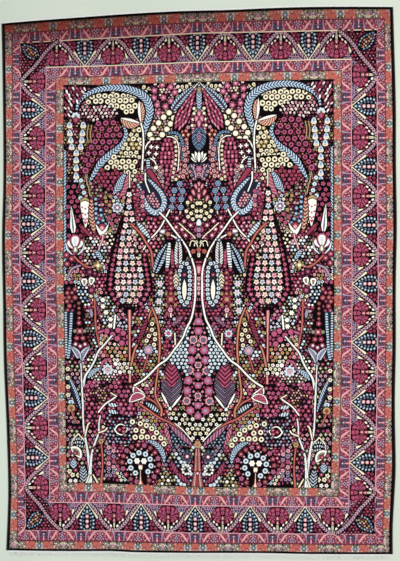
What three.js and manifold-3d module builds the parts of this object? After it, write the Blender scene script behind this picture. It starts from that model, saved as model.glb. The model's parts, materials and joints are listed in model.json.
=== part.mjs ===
// A hand-knotted Persian carpet of about 2.4 by 3.3 m, lying flat with its pile up.
// Millimetres, +Z up. X runs across the carpet and Y along it, towards the end with the plain kilim.
// The knotted cloth, its two overcast side cords and its two cotton end strips are separate pieces.

import * as THREE from 'three';
import { mergeVertices } from 'three/addons/utils/BufferGeometryUtils.js';
import Module from 'manifold-3d';

// The cloth: cotton foundation with clipped wool pile on it
const FOUNDATION_HEIGHT = 3;
const PILE_SHOULDER_HEIGHT = 7.4;
const CARPET_THICKNESS = 9;
const FOUNDATION_EDGE_ROUND = 0.6;
const PILE_SHOULDER_ROUND = 0.6;
const PILE_TOP_ROUND = 2.4;

// The overcast cord along each long side
const CORD_WIDTH = 8;
const CORD_HEIGHT = 7;
const CORD_CORNER = 2;

// The flat-woven cotton strip at each end
const TOP_KILIM_WIDTH = 13;
const BOTTOM_KILIM_WIDTH = 11;
const KILIM_THICKNESS = 2.6;
const KILIM_EDGE_ROUND = 0.4;

// The fringe of warp ends, gathered in locks
const FRINGE_LOCKS = 236;
const LOCK_LENGTH = 26;
const LOCK_LENGTH_SPREAD = 3.5;
const LOCK_ROOT_WIDTH = 5.4;
const LOCK_MIDDLE_WIDTH = 5;
const LOCK_TIP_WIDTH = 3;
const LOCK_THICKNESS = 2;
const LOCK_ROOT_DEPTH = 5;
const LOCK_LEAN = 5.5;
const FRINGE_END_MARGIN = 9;

// Neighbouring pieces lie this far apart
const PIECE_GAP = 0.3;

// Points along each edge, about 60 mm apart
const STEPS_ACROSS = 40;
const STEPS_ALONG = 56;

// The carpet lies as it was woven, a little out of square. Each row is a place on the edge of
// the pile and cords, across and along from the middle, and the edge runs smoothly through them.
const TOP_EDGE = [
  { across: -1220, along: 1600 },
  { across: -1040, along: 1616 },
  { across: -730, along: 1639 },
  { across: -420, along: 1661 },
  { across: -115, along: 1677 },
  { across: 195, along: 1685 },
  { across: 500, along: 1698 },
  { across: 810, along: 1704 },
  { across: 1198, along: 1703 },
];
const BOTTOM_EDGE = [
  { across: -1191, along: -1650 },
  { across: -855, along: -1655 },
  { across: -547, along: -1655 },
  { across: -392, along: -1662 },
  { across: -85, along: -1666 },
  { across: 380, along: -1667 },
  { across: 690, along: -1673 },
  { across: 1196, along: -1674 },
];
const LEFT_EDGE = [
  { across: -1191, along: -1650 },
  { across: -1181, along: -1405 },
  { across: -1179, along: -1220 },
  { across: -1190, along: -850 },
  { across: -1206, along: -480 },
  { across: -1211, along: -110 },
  { across: -1217, along: 260 },
  { across: -1209, along: 630 },
  { across: -1210, along: 1000 },
  { across: -1215, along: 1370 },
  { across: -1220, along: 1600 },
];
const RIGHT_EDGE = [
  { across: 1196, along: -1674 },
  { across: 1196, along: -1497 },
  { across: 1206, along: -1312 },
  { across: 1214, along: -1127 },
  { across: 1209, along: -756 },
  { across: 1215, along: -386 },
  { across: 1215, along: -16 },
  { across: 1221, along: 354 },
  { across: 1216, along: 724 },
  { across: 1215, along: 1095 },
  { across: 1205, along: 1465 },
  { across: 1198, along: 1703 },
];

const woolPile = new THREE.MeshStandardMaterial({ color: 0x6e2a3c, roughness: 0.92, metalness: 0 });
const overcastWool = new THREE.MeshStandardMaterial({ color: 0x17131c, roughness: 0.9, metalness: 0 });
const warpCotton = new THREE.MeshStandardMaterial({ color: 0xdcdcd2, roughness: 0.88, metalness: 0 });

// A smooth line through the rows of an edge table, cut into even steps
function edgeLine(rows, steps) {
  const curve = new THREE.SplineCurve(rows.map((row) => new THREE.Vector2(row.across, row.along)));
  return curve.getSpacedPoints(steps);
}

const topLine = edgeLine(TOP_EDGE, STEPS_ACROSS);
const bottomLine = edgeLine(BOTTOM_EDGE, STEPS_ACROSS);
const leftLine = edgeLine(LEFT_EDGE, STEPS_ALONG);
const rightLine = edgeLine(RIGHT_EDGE, STEPS_ALONG);

// The same line moved sideways: a positive distance moves it to its left as it runs
function shifted(line, distance) {
  return line.map((point, i) => {
    const before = line[Math.max(i - 1, 0)];
    const after = line[Math.min(i + 1, line.length - 1)];
    const run = after.clone().sub(before).normalize();
    return new THREE.Vector2(point.x - run.y * distance, point.y + run.x * distance);
  });
}

// Where two straight lines cross, each given by two points
function crossing(a, b, c, d) {
  const ab = b.clone().sub(a);
  const cd = d.clone().sub(c);
  const t = c.clone().sub(a).cross(cd) / ab.cross(cd);
  return a.clone().addScaledVector(ab, t);
}

// A closed outline, anticlockwise, from four lines that run bottom, right, top and left.
// The lines' ends are drawn in or out to the corners where the lines cross.
function framedOutline(bottom, right, top, left) {
  const sides = [bottom, right, [...top].reverse(), [...left].reverse()];
  const outline = [];
  sides.forEach((side, i) => {
    const last = sides[(i + 3) % 4];
    outline.push(crossing(last[last.length - 2], last[last.length - 1], side[0], side[1]));
    outline.push(...side.slice(1, -1));
  });
  return outline;
}

// A closed solid from one outline per level, each level a height and an outline of as many points
function layered(levels) {
  const count = levels[0].outline.length;
  const positions = [];
  for (const level of levels) {
    for (const point of level.outline) {
      positions.push(point.x, point.y, level.height);
    }
  }
  const index = [];
  for (let k = 0; k < levels.length - 1; k += 1) {
    for (let i = 0; i < count; i += 1) {
      const low = k * count + i;
      const lowNext = k * count + (i + 1) % count;
      index.push(low, lowNext, lowNext + count);
      index.push(low, lowNext + count, low + count);
    }
  }
  const lowest = THREE.ShapeUtils.triangulateShape(levels[0].outline, []);
  const highest = THREE.ShapeUtils.triangulateShape(levels[levels.length - 1].outline, []);
  const topStart = (levels.length - 1) * count;
  for (const [a, b, c] of lowest) {
    index.push(a, c, b);
  }
  for (const [a, b, c] of highest) {
    index.push(topStart + a, topStart + b, topStart + c);
  }
  const geometry = new THREE.BufferGeometry();
  geometry.setAttribute('position', new THREE.Float32BufferAttribute(positions, 3));
  geometry.setIndex(index);
  return geometry;
}

// The knotted cloth inside the side cords, drawn in by an inset all round
function clothOutline(inset) {
  const sideInset = CORD_WIDTH + PIECE_GAP + inset;
  return framedOutline(
    shifted(bottomLine, inset),
    shifted(rightLine, sideInset),
    shifted(topLine, -inset),
    shifted(leftLine, -sideInset),
  );
}

function knottedCarpet() {
  return layered([
    { height: 0, outline: clothOutline(FOUNDATION_EDGE_ROUND) },
    { height: FOUNDATION_HEIGHT, outline: clothOutline(0) },
    { height: PILE_SHOULDER_HEIGHT, outline: clothOutline(PILE_SHOULDER_ROUND) },
    { height: CARPET_THICKNESS, outline: clothOutline(PILE_TOP_ROUND) },
  ]);
}

// A side cord's outline in plan: inward is +1 where the cloth lies to the left of the edge line
function cordOutline(line, inward, inset) {
  const outer = shifted(line, inward * inset);
  const inner = shifted(line, inward * (CORD_WIDTH - inset));
  for (const side of [outer, inner]) {
    side[0].y += PIECE_GAP + inset;
    side[side.length - 1].y -= PIECE_GAP + inset;
  }
  return inward > 0 ? [...outer, ...inner.reverse()] : [...inner, ...outer.reverse()];
}

function sideCord(line, inward) {
  return layered([
    { height: 0, outline: cordOutline(line, inward, CORD_CORNER) },
    { height: CORD_CORNER, outline: cordOutline(line, inward, 0) },
    { height: CORD_HEIGHT - CORD_CORNER, outline: cordOutline(line, inward, 0) },
    { height: CORD_HEIGHT, outline: cordOutline(line, inward, CORD_CORNER) },
  ]);
}

// An end strip lies outside the pile: outward is +1 at the top end and -1 at the bottom
function kilimOutline(line, outward, width, inset) {
  const near = shifted(line, outward * (PIECE_GAP + inset));
  const far = shifted(line, outward * (PIECE_GAP + width - inset));
  for (const side of [near, far]) {
    side[0].x += inset;
    side[side.length - 1].x -= inset;
  }
  return outward > 0 ? [...near, ...far.reverse()] : [...far, ...near.reverse()];
}

function kilimStrip(line, outward, width) {
  return layered([
    { height: 0, outline: kilimOutline(line, outward, width, 0) },
    { height: KILIM_THICKNESS - KILIM_EDGE_ROUND, outline: kilimOutline(line, outward, width, 0) },
    { height: KILIM_THICKNESS, outline: kilimOutline(line, outward, width, KILIM_EDGE_ROUND) },
  ]);
}

// One lock of the fringe, lying flat: it starts inside the strip, leans and narrows to its tip
function fringeLock(root, lean, length) {
  const stations = [
    { out: -LOCK_ROOT_DEPTH, aside: 0, width: LOCK_ROOT_WIDTH },
    { out: 0.5 * length, aside: 0.35 * lean, width: LOCK_MIDDLE_WIDTH },
    { out: length, aside: lean, width: LOCK_TIP_WIDTH },
  ];
  const leftSide = stations.map((s) => new THREE.Vector2(root.x + s.aside - s.width / 2, root.y - s.out));
  const rightSide = stations.map((s) => new THREE.Vector2(root.x + s.aside + s.width / 2, root.y - s.out));
  const outline = [...leftSide, ...rightSide.reverse()];
  return layered([
    { height: 0, outline },
    { height: LOCK_THICKNESS, outline },
  ]);
}

const wasm = await Module();
wasm.setup();

function toManifold(geometry) {
  const welded = mergeVertices(geometry);
  return new wasm.Manifold(new wasm.Mesh({
    numProp: 3,
    vertProperties: new Float32Array(welded.attributes.position.array),
    triVerts: new Uint32Array(welded.index.array),
  }));
}

function fromManifold(solid) {
  const mesh = solid.getMesh();
  const geometry = new THREE.BufferGeometry();
  geometry.setAttribute('position', new THREE.BufferAttribute(mesh.vertProperties, 3));
  geometry.setIndex(new THREE.BufferAttribute(mesh.triVerts, 1));
  return geometry;
}

// The bottom strip with its locks fused to it. The locks lean this way and that in slow waves,
// so neighbours stay apart.
function fringedKilim() {
  const outerEdge = shifted(bottomLine, -(PIECE_GAP + BOTTOM_KILIM_WIDTH));
  const edge = new THREE.SplineCurve(outerEdge);
  const margin = FRINGE_END_MARGIN / edge.getLength();
  const pieces = [toManifold(kilimStrip(bottomLine, -1, BOTTOM_KILIM_WIDTH))];
  for (let i = 0; i < FRINGE_LOCKS; i += 1) {
    const along = margin + (1 - 2 * margin) * i / (FRINGE_LOCKS - 1);
    const lean = LOCK_LEAN * (Math.sin(i * 0.31) + 0.6 * Math.sin(i * 0.117 + 1.3));
    const length = LOCK_LENGTH + LOCK_LENGTH_SPREAD * Math.sin(i * 1.9) * Math.sin(i * 0.53);
    pieces.push(toManifold(fringeLock(edge.getPointAt(along), lean, length)));
  }
  return fromManifold(wasm.Manifold.union(pieces));
}

function piece(name, geometry, material) {
  const mesh = new THREE.Mesh(geometry, material);
  mesh.name = name;
  return mesh;
}

const carpet = new THREE.Group();
carpet.add(
  piece('knotted_carpet', knottedCarpet(), woolPile),
  piece('selvedge_left', sideCord(leftLine, -1), overcastWool),
  piece('selvedge_right', sideCord(rightLine, 1), overcastWool),
  piece('kilim_top', kilimStrip(topLine, 1, TOP_KILIM_WIDTH), warpCotton),
  piece('kilim_fringe_bottom', fringedKilim(), warpCotton),
);

// The origin is under the middle of the whole carpet, on the floor
const reach = new THREE.Box3().setFromObject(carpet);
const middle = reach.getCenter(new THREE.Vector3());
carpet.position.set(-middle.x, -middle.y, -reach.min.z);

export default carpet;
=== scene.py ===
# %% [markdown]
# # A Kerman garden rug
# The real thing is a hand-knotted carpet of about 2.4 by 3.3 metres: wool pile on cotton warps,
# bound along its sides with dark wool, with a plain white strip at each end and a short fringe
# at one. It lies flat, so its form is simple, and nearly all of its character is in its pattern.
# The pattern could be painted as a picture, but a picture can't be worn, tilted or re-dyed. Here
# it is knotted as the weaver did it: a chart of yarn numbers is drawn by formulas, laid on the
# mesh as face attributes, and the material looks up one of sixteen dyed wools for every knot.

# %% Frame and tools
import json
import bmesh
import bpy
import numpy as np
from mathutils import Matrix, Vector

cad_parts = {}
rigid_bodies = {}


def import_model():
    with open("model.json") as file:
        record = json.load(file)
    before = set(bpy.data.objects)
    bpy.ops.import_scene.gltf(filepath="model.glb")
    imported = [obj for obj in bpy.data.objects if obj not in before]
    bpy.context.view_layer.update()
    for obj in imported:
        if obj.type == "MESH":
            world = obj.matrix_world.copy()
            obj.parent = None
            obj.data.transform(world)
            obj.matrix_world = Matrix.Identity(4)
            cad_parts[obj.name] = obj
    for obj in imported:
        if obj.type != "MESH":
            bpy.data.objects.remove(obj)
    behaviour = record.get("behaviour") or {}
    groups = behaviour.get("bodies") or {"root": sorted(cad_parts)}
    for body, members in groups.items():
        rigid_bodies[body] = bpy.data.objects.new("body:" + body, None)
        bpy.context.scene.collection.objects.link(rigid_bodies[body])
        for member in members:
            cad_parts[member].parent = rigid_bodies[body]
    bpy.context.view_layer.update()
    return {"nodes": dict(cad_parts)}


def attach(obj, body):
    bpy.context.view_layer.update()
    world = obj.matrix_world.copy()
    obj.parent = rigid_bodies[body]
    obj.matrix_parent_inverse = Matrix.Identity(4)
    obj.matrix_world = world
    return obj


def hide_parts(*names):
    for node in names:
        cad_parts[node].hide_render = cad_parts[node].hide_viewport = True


for leftover in list(bpy.data.objects):
    bpy.data.objects.remove(leftover)
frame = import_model()


# %% [markdown]
# ## Drawing the chart
# A Kerman weaver ties each knot by a chart: squared paper with one small square for each knot.
# The same is done here. The chart is a plain array of yarn numbers, drawn by a few formulas:
# blossoms are polar curves, and stems, leaves and feathers are bands along a smooth line.
# All places are in squares of the chart's coarse ruling, 6.17 mm each. In the field they are
# counted from the carpet's long middle line outwards and from the top of the field down, and in a
# border repeat from its own middle and from its outer line inwards.

# %% Ruling of the chart
SQUARE = 0.00617
KNOTS_PER_SQUARE = 3.2
SIDE_BORDER = 61.0
END_BORDER = 67.0
HALF_FIELD = 133.5
FIELD_LENGTH = 403.0

# %% [markdown]
# Sixteen wools were dyed for this carpet. The numbers below are their places in the palette, and
# SKIP means that a motif leaves the knots under it as they are.

# %% Yarns
YARNS = {
    "ground": "#0b0508",
    "navy": "#1f2436",
    "slate": "#566a80",
    "sky": "#7f9fc2",
    "pale": "#cfdbe4",
    "ivory": "#f8f3ea",
    "cream": "#efe4c6",
    "gold": "#b39a68",
    "olive": "#85826a",
    "orange": "#b96459",
    "rust": "#84423a",
    "crimson": "#92394e",
    "rose": "#b3587a",
    "pink": "#dda6ae",
    "lilac": "#a48fa8",
    "plum": "#51263a",
}
(GROUND, NAVY, SLATE, SKY, PALE, IVORY, CREAM, GOLD,
 OLIVE, ORANGE, RUST, CRIMSON, ROSE, PINK, LILAC, PLUM) = range(16)
SKIP = 255


# %% Blank chart and its windows
def blank(width, height, yarn=GROUND):
    shape = (round(height * KNOTS_PER_SQUARE), round(width * KNOTS_PER_SQUARE))
    return np.full(shape, yarn, np.uint8)


def window(chart, left, top, right, bottom):
    """The part of a chart between four lines, with its knots' places; None if it is empty."""
    rows, columns = chart.shape
    c0 = max(int(left * KNOTS_PER_SQUARE), 0)
    c1 = min(int(right * KNOTS_PER_SQUARE) + 1, columns)
    r0 = max(int(top * KNOTS_PER_SQUARE), 0)
    r1 = min(int(bottom * KNOTS_PER_SQUARE) + 1, rows)
    if c1 <= c0 or r1 <= r0:
        return None
    x = (np.arange(c0, c1, dtype=np.float32) + 0.5) / KNOTS_PER_SQUARE
    y = (np.arange(r0, r1, dtype=np.float32) + 0.5) / KNOTS_PER_SQUARE
    return chart[r0:r1, c0:c1], *np.meshgrid(x, y)


def tie(view, yarns, where=True):
    """Tie the knots of a window, leaving those that say SKIP."""
    yarns = np.broadcast_to(yarns, view.shape)
    here = (yarns != SKIP) & where
    view[here] = yarns[here]


# %% [markdown]
# A blossom is drawn from its middle: how far its petals reach depends on the direction, so one
# cosine gives any number of petals. Weavers set each blossom off with a thin dark outline.

# %% Blossoms
def blossom(petal, eye, petals=5, notch=0.16, eye_size=0.36, rim=0.7, edge=GROUND, tip=None):
    def draw(dx, dy, radius):
        reach = np.hypot(dx, dy)
        turn = np.arctan2(dy, dx)
        outer = radius * (1 - notch + notch * np.cos(petals * turn))
        yarns = np.full(dx.shape, SKIP, np.uint8)
        yarns[reach < outer + rim] = edge
        yarns[reach < outer] = petal if tip is None else tip
        if tip is not None:
            yarns[reach < outer * 0.68] = petal
        yarns[reach < eye_size * radius] = eye
        return yarns
    return draw


def dot(yarn, rim=0.7):
    """A round floret of one colour."""
    return blossom(yarn, yarn, 0, rim=rim)


def bud(body, heart, slim=0.62, rim=0.6, edge=GROUND, cap=None):
    """A drop-shaped bud that points along +x before it is turned."""
    def draw(dx, dy, radius):
        run = np.clip(dx / radius, -1, 1)
        half = radius * slim * np.sqrt(1 - run ** 2) * (1 - 0.45 * run)
        out = np.abs(dx) < radius
        yarns = np.full(dx.shape, SKIP, np.uint8)
        yarns[(np.abs(dy) < half + rim) & (np.abs(dx) < radius + rim)] = edge
        yarns[(np.abs(dy) < half) & out] = body
        yarns[(np.abs(dy) < half * 0.45) & out & (np.abs(dx) < radius * 0.6)] = heart
        if cap is not None:
            yarns[(np.abs(dy) < half) & out & (dx < -radius * 0.35)] = cap
        return yarns
    return draw


def stamp(chart, draw, x, y, radius, turn=0.0, wide=1.0):
    """Tie one blossom at x, y; turn is in degrees, and wide stretches it across."""
    span = radius * max(wide, 1.0) + 1.6
    found = window(chart, x - span, y - span, x + span, y + span)
    if found is None:
        return
    view, px, py = found
    c, s = np.cos(np.radians(turn)), np.sin(np.radians(turn))
    dx = (px - x) * c + (py - y) * s
    dy = ((py - y) * c - (px - x) * s) / wide
    tie(view, draw(dx, dy, radius))


# %% [markdown]
# Stems, feathers, leaves and the long bent paisleys are all bands: a smooth line with a width
# that swells and narrows along it. Each knot near the line learns how far along and how far
# across it lies, and a paint rule turns those two numbers into a yarn.

# %% Bands along a smooth line
def smooth_line(points, step=0.45):
    """Dense points on a Catmull-Rom curve through the given ones, with lengths and directions."""
    p = np.array(points, np.float32)
    if len(p) == 2:
        p = np.array([p[0], (p[0] + p[1]) / 2, p[1]])
    ends = np.concatenate([[2 * p[0] - p[1]], p, [2 * p[-1] - p[-2]]])
    dense = []
    for a, b, c, d in zip(ends, ends[1:], ends[2:], ends[3:]):
        count = max(int(np.hypot(*(c - b)) / step), 2)
        t = np.linspace(0, 1, count, endpoint=False)[:, None]
        dense.append(0.5 * (2 * b + (c - a) * t + (2 * a - 5 * b + 4 * c - d) * t ** 2
                            + (3 * b - a - 3 * c + d) * t ** 3))
    line = np.concatenate(dense + [p[-1:]]).astype(np.float32)
    aim = np.gradient(line, axis=0)
    aim /= np.maximum(np.hypot(aim[:, 0], aim[:, 1]), 1e-6)[:, None]
    hop = np.hypot(*np.diff(line, axis=0).T)
    arc = np.concatenate([[0], np.cumsum(hop)]).astype(np.float32)
    return line, aim, arc


def band(chart, points, half_widths, paint, rim=0.6, edge=GROUND):
    """Tie a band along a line; half_widths are spread evenly from its start to its end."""
    line, aim, arc = smooth_line(points)
    places = np.linspace(0, arc[-1], len(half_widths))
    widths = np.interp(arc, places, half_widths).astype(np.float32)
    reach = float(widths.max()) + rim
    low, high = line.min(axis=0) - reach, line.max(axis=0) + reach
    found = window(chart, low[0], low[1], high[0], high[1])
    if found is None:
        return
    view, px, py = found
    dx = px[..., None] - line[:, 0]
    dy = py[..., None] - line[:, 1]
    near = np.argmin(dx * dx + dy * dy, axis=-1)
    dx, dy = px - line[near, 0], py - line[near, 1]
    along = arc[near] + dx * aim[near, 0] + dy * aim[near, 1]
    across = dy * aim[near, 0] - dx * aim[near, 1]
    gap = np.hypot(dx, dy)
    half = widths[near]
    tie(view, np.uint8(edge), (gap < half + rim) & (half > 0.05))
    tie(view, as_paint(paint)(along, across, half, arc[-1]), gap < half)


def as_paint(paint):
    """A yarn by itself is a paint of one colour."""
    if callable(paint):
        return paint
    return lambda along, across, half, length: np.full(along.shape, paint, np.uint8)


def chevrons(yarns, pitch, slant=1.0):
    """Stripes that lean back from the middle line, as in a feather."""
    yarns = np.array(yarns, np.uint8)
    def paint(along, across, half, length):
        step = (along + slant * np.abs(across)) / pitch * len(yarns)
        return yarns[np.floor(step).astype(int) % len(yarns)]
    return paint


def slashes(yarns, pitch, slant=1.0):
    """Stripes that all lean one way, as in a twisted rope."""
    yarns = np.array(yarns, np.uint8)
    def paint(along, across, half, length):
        step = (along + slant * across) / pitch * len(yarns)
        return yarns[np.floor(step).astype(int) % len(yarns)]
    return paint


def cored(outer, core, share=0.4):
    """One paint in the middle of a band and another beside it."""
    outer, core = as_paint(outer), as_paint(core)
    def paint(along, across, half, length):
        inner = np.abs(across) < half * share
        return np.where(inner, core(along, across, half, length), outer(along, across, half, length))
    return paint


def one_side(left, right):
    """One paint on each side of the middle line."""
    left, right = as_paint(left), as_paint(right)
    def paint(along, across, half, length):
        return np.where(across < 0, left(along, across, half, length), right(along, across, half, length))
    return paint


LEAF = (0.0, 0.62, 0.92, 1.0, 0.86, 0.55, 0.0)


def leaf(chart, start, end, half, paint, rim=0.6, edge=GROUND, bend=0.0):
    """A pointed leaf between two places, bent sideways by a share of its length."""
    (x0, y0), (x1, y1) = start, end
    middle = ((x0 + x1) / 2 - bend * (y1 - y0), (y0 + y1) / 2 + bend * (x1 - x0))
    band(chart, [start, middle, end], [half * w for w in LEAF], paint, rim, edge)


# %% [markdown]
# The dense parts are beds: an outline filled with rows of small blossoms, each row set between
# the ones above it. Cypresses and pods are beds along a line, with their rows across it.

# %% Beds of blossoms
def inside(outline, x, y):
    """Whether places lie inside a closed outline."""
    hit = np.zeros(np.shape(x), bool)
    ring = list(outline)
    for (ax, ay), (bx, by) in zip(ring, ring[1:] + ring[:1]):
        if ay != by:
            cross = (bx - ax) * (y - ay) / (by - ay) + ax
            hit ^= ((ay > y) != (by > y)) & (x < cross)
    return hit


def ground_bed(chart, outline, yarn):
    xs, ys = zip(*outline)
    found = window(chart, min(xs), min(ys), max(xs), max(ys))
    if found is not None:
        view, px, py = found
        tie(view, np.uint8(yarn), inside(outline, px, py))


def bed(chart, outline, draws, pitch, radius, ground=GROUND, turn=0.0, lean=0.0, seed=1):
    """Fill an outline with rows of blossoms, the kinds taken in turn with a little chance."""
    if ground is not None:
        ground_bed(chart, outline, ground)
    chance = np.random.default_rng(seed)
    xs, ys = zip(*outline)
    rows = int((max(ys) - min(ys)) / (pitch * 0.87)) + 2
    columns = int((max(xs) - min(xs)) / pitch) + 2
    for row in range(rows):
        for column in range(columns):
            x = min(xs) + (column + 0.5 * (row % 2)) * pitch + chance.uniform(-0.12, 0.12) * pitch
            y = min(ys) + row * pitch * 0.87 + chance.uniform(-0.12, 0.12) * pitch
            kind = draws[(column + row + int(chance.integers(0, 2))) % len(draws)]
            size = radius * chance.uniform(0.88, 1.1)
            if inside(outline, x, y):
                stamp(chart, kind, x, y, size, turn + chance.uniform(-lean, lean))


def rows_along(chart, points, half_widths, draws, pitch, radius, inset=0.0, start=0.0):
    """Rows of blossoms across a bent form; each row holds as many as its width allows."""
    line, aim, arc = smooth_line(points)
    places = np.linspace(0, arc[-1], len(half_widths))
    for row, at in enumerate(np.arange(start + pitch / 2, arc[-1] - pitch * 0.3, pitch)):
        near = int(np.searchsorted(arc, at))
        half = np.interp(at, places, half_widths) - inset
        count = int(2 * half / pitch + 0.55)
        turn = np.degrees(np.arctan2(aim[near, 1], aim[near, 0]))
        for k in range(max(count, 0)):
            side = (k - (count - 1) / 2) * (2 * half / count)
            x = line[near, 0] - aim[near, 1] * side
            y = line[near, 1] + aim[near, 0] * side
            stamp(chart, draws[(row + k) % len(draws)], x, y, radius, turn)


def beads(chart, points, draw, pitch, radius, wide=1.0):
    """A single row of blossoms along a line."""
    line, aim, arc = smooth_line(points)
    for at in np.arange(pitch / 2, arc[-1], pitch):
        near = min(int(np.searchsorted(arc, at)), len(line) - 1)
        turn = np.degrees(np.arctan2(aim[near, 1], aim[near, 0]))
        stamp(chart, draw, line[near, 0], line[near, 1], radius, turn, wide)


# %% Blossoms used again and again
CREAM_RING = blossom(CREAM, GROUND, 0, eye_size=0.4, rim=0.9)
CREAM_GOLD = blossom(CREAM, GOLD, eye_size=0.34)
IVORY_PINK = blossom(IVORY, ROSE)
PALE_FLOWER = blossom(PALE, NAVY, 4)
RUBY = blossom(CRIMSON, PINK, eye_size=0.28)
ROSY = blossom(ROSE, CRIMSON, eye_size=0.3)
ROSE_PALE = blossom(ROSE, IVORY, eye_size=0.3)
PINKY = blossom(PINK, CRIMSON, eye_size=0.32)
MAUVE = blossom(LILAC, PLUM)
PLUMMY = blossom(PLUM, ROSE)
GOLDEN = blossom(GOLD, RUST)
ORANGEY = blossom(ORANGE, RUST)
MAGENTA_RING = blossom(ROSE, PLUM, 0, eye_size=0.52, rim=1.0)
CRIMSON_BUD = bud(CRIMSON, ROSE)
IVORY_BUD = bud(IVORY, PINK)
CREAM_BUD = bud(CREAM, GOLD)
WHITE_DOT = dot(IVORY, 0.4)
PALE_DOT = dot(PALE, 0.4)
PINK_DOT = dot(PINK, 0.4)
GOLD_DOT = dot(GOLD, 0.3)
PLUM_FLORET = blossom(PLUM, ROSE, 4)
WINE_FLORET = blossom(CRIMSON, PLUM, 4)
RED_FLORET = blossom(CRIMSON, ROSE, 4)
DARK_FLORET = blossom(PLUM, PINK, 4)
LILAC_FLORET = blossom(LILAC, PLUM, 4)
SLATE_FLORET = blossom(SLATE, PALE, 4)
PINK_FLORET = blossom(PINK, PLUM, 4)
MOSSY = blossom(OLIVE, CREAM, 4)
CREAM_FLORET = blossom(CREAM, OLIVE)
OLIVE_DOT = dot(OLIVE)
PLUM_DOT = dot(PLUM)
RUST_DISC = blossom(GOLD, RUST, 0)
SKY_DISC = blossom(PALE, SKY, 0, rim=0.9)
PALE_RING = blossom(PALE, SLATE, 0, eye_size=0.4, rim=1.1)
ORANGE_STEM = cored(ORANGE, GOLD, 0.3)
ROPE = chevrons([PINK, LILAC, GROUND], 2.7, -0.9)
FEATHER_BLUE = chevrons([SKY, PALE, PALE, SKY, GROUND, GROUND], 3.2)


def spread(chart, draw, radius, *places, turn=0.0):
    """The same blossom at several places."""
    for x, y in places:
        stamp(chart, draw, x, y, radius, turn)


def column(chart, draws, x, top, bottom, pitch, radius, turn=90.0):
    """Blossoms one under another."""
    for k, y in enumerate(np.arange(top, bottom, pitch)):
        stamp(chart, draws[k % len(draws)], x, y, radius, turn)


def stem(chart, points, half, yarn, rim=0.6, end=None):
    band(chart, points, [half, half if end is None else end], yarn, rim)


# %% [markdown]
# ## The borders
# From the edge inwards: a black line, an orange guard, a crimson guard, the wide main border
# between two pale lines, and a crimson and an orange guard again. Each strip is a short repeat.
# Only half of a repeat is drawn, since the other half is its mirror image.

# %% Main border repeat
MAIN_HALF = 28.95
MAIN_DEEP = 24.7


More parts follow.
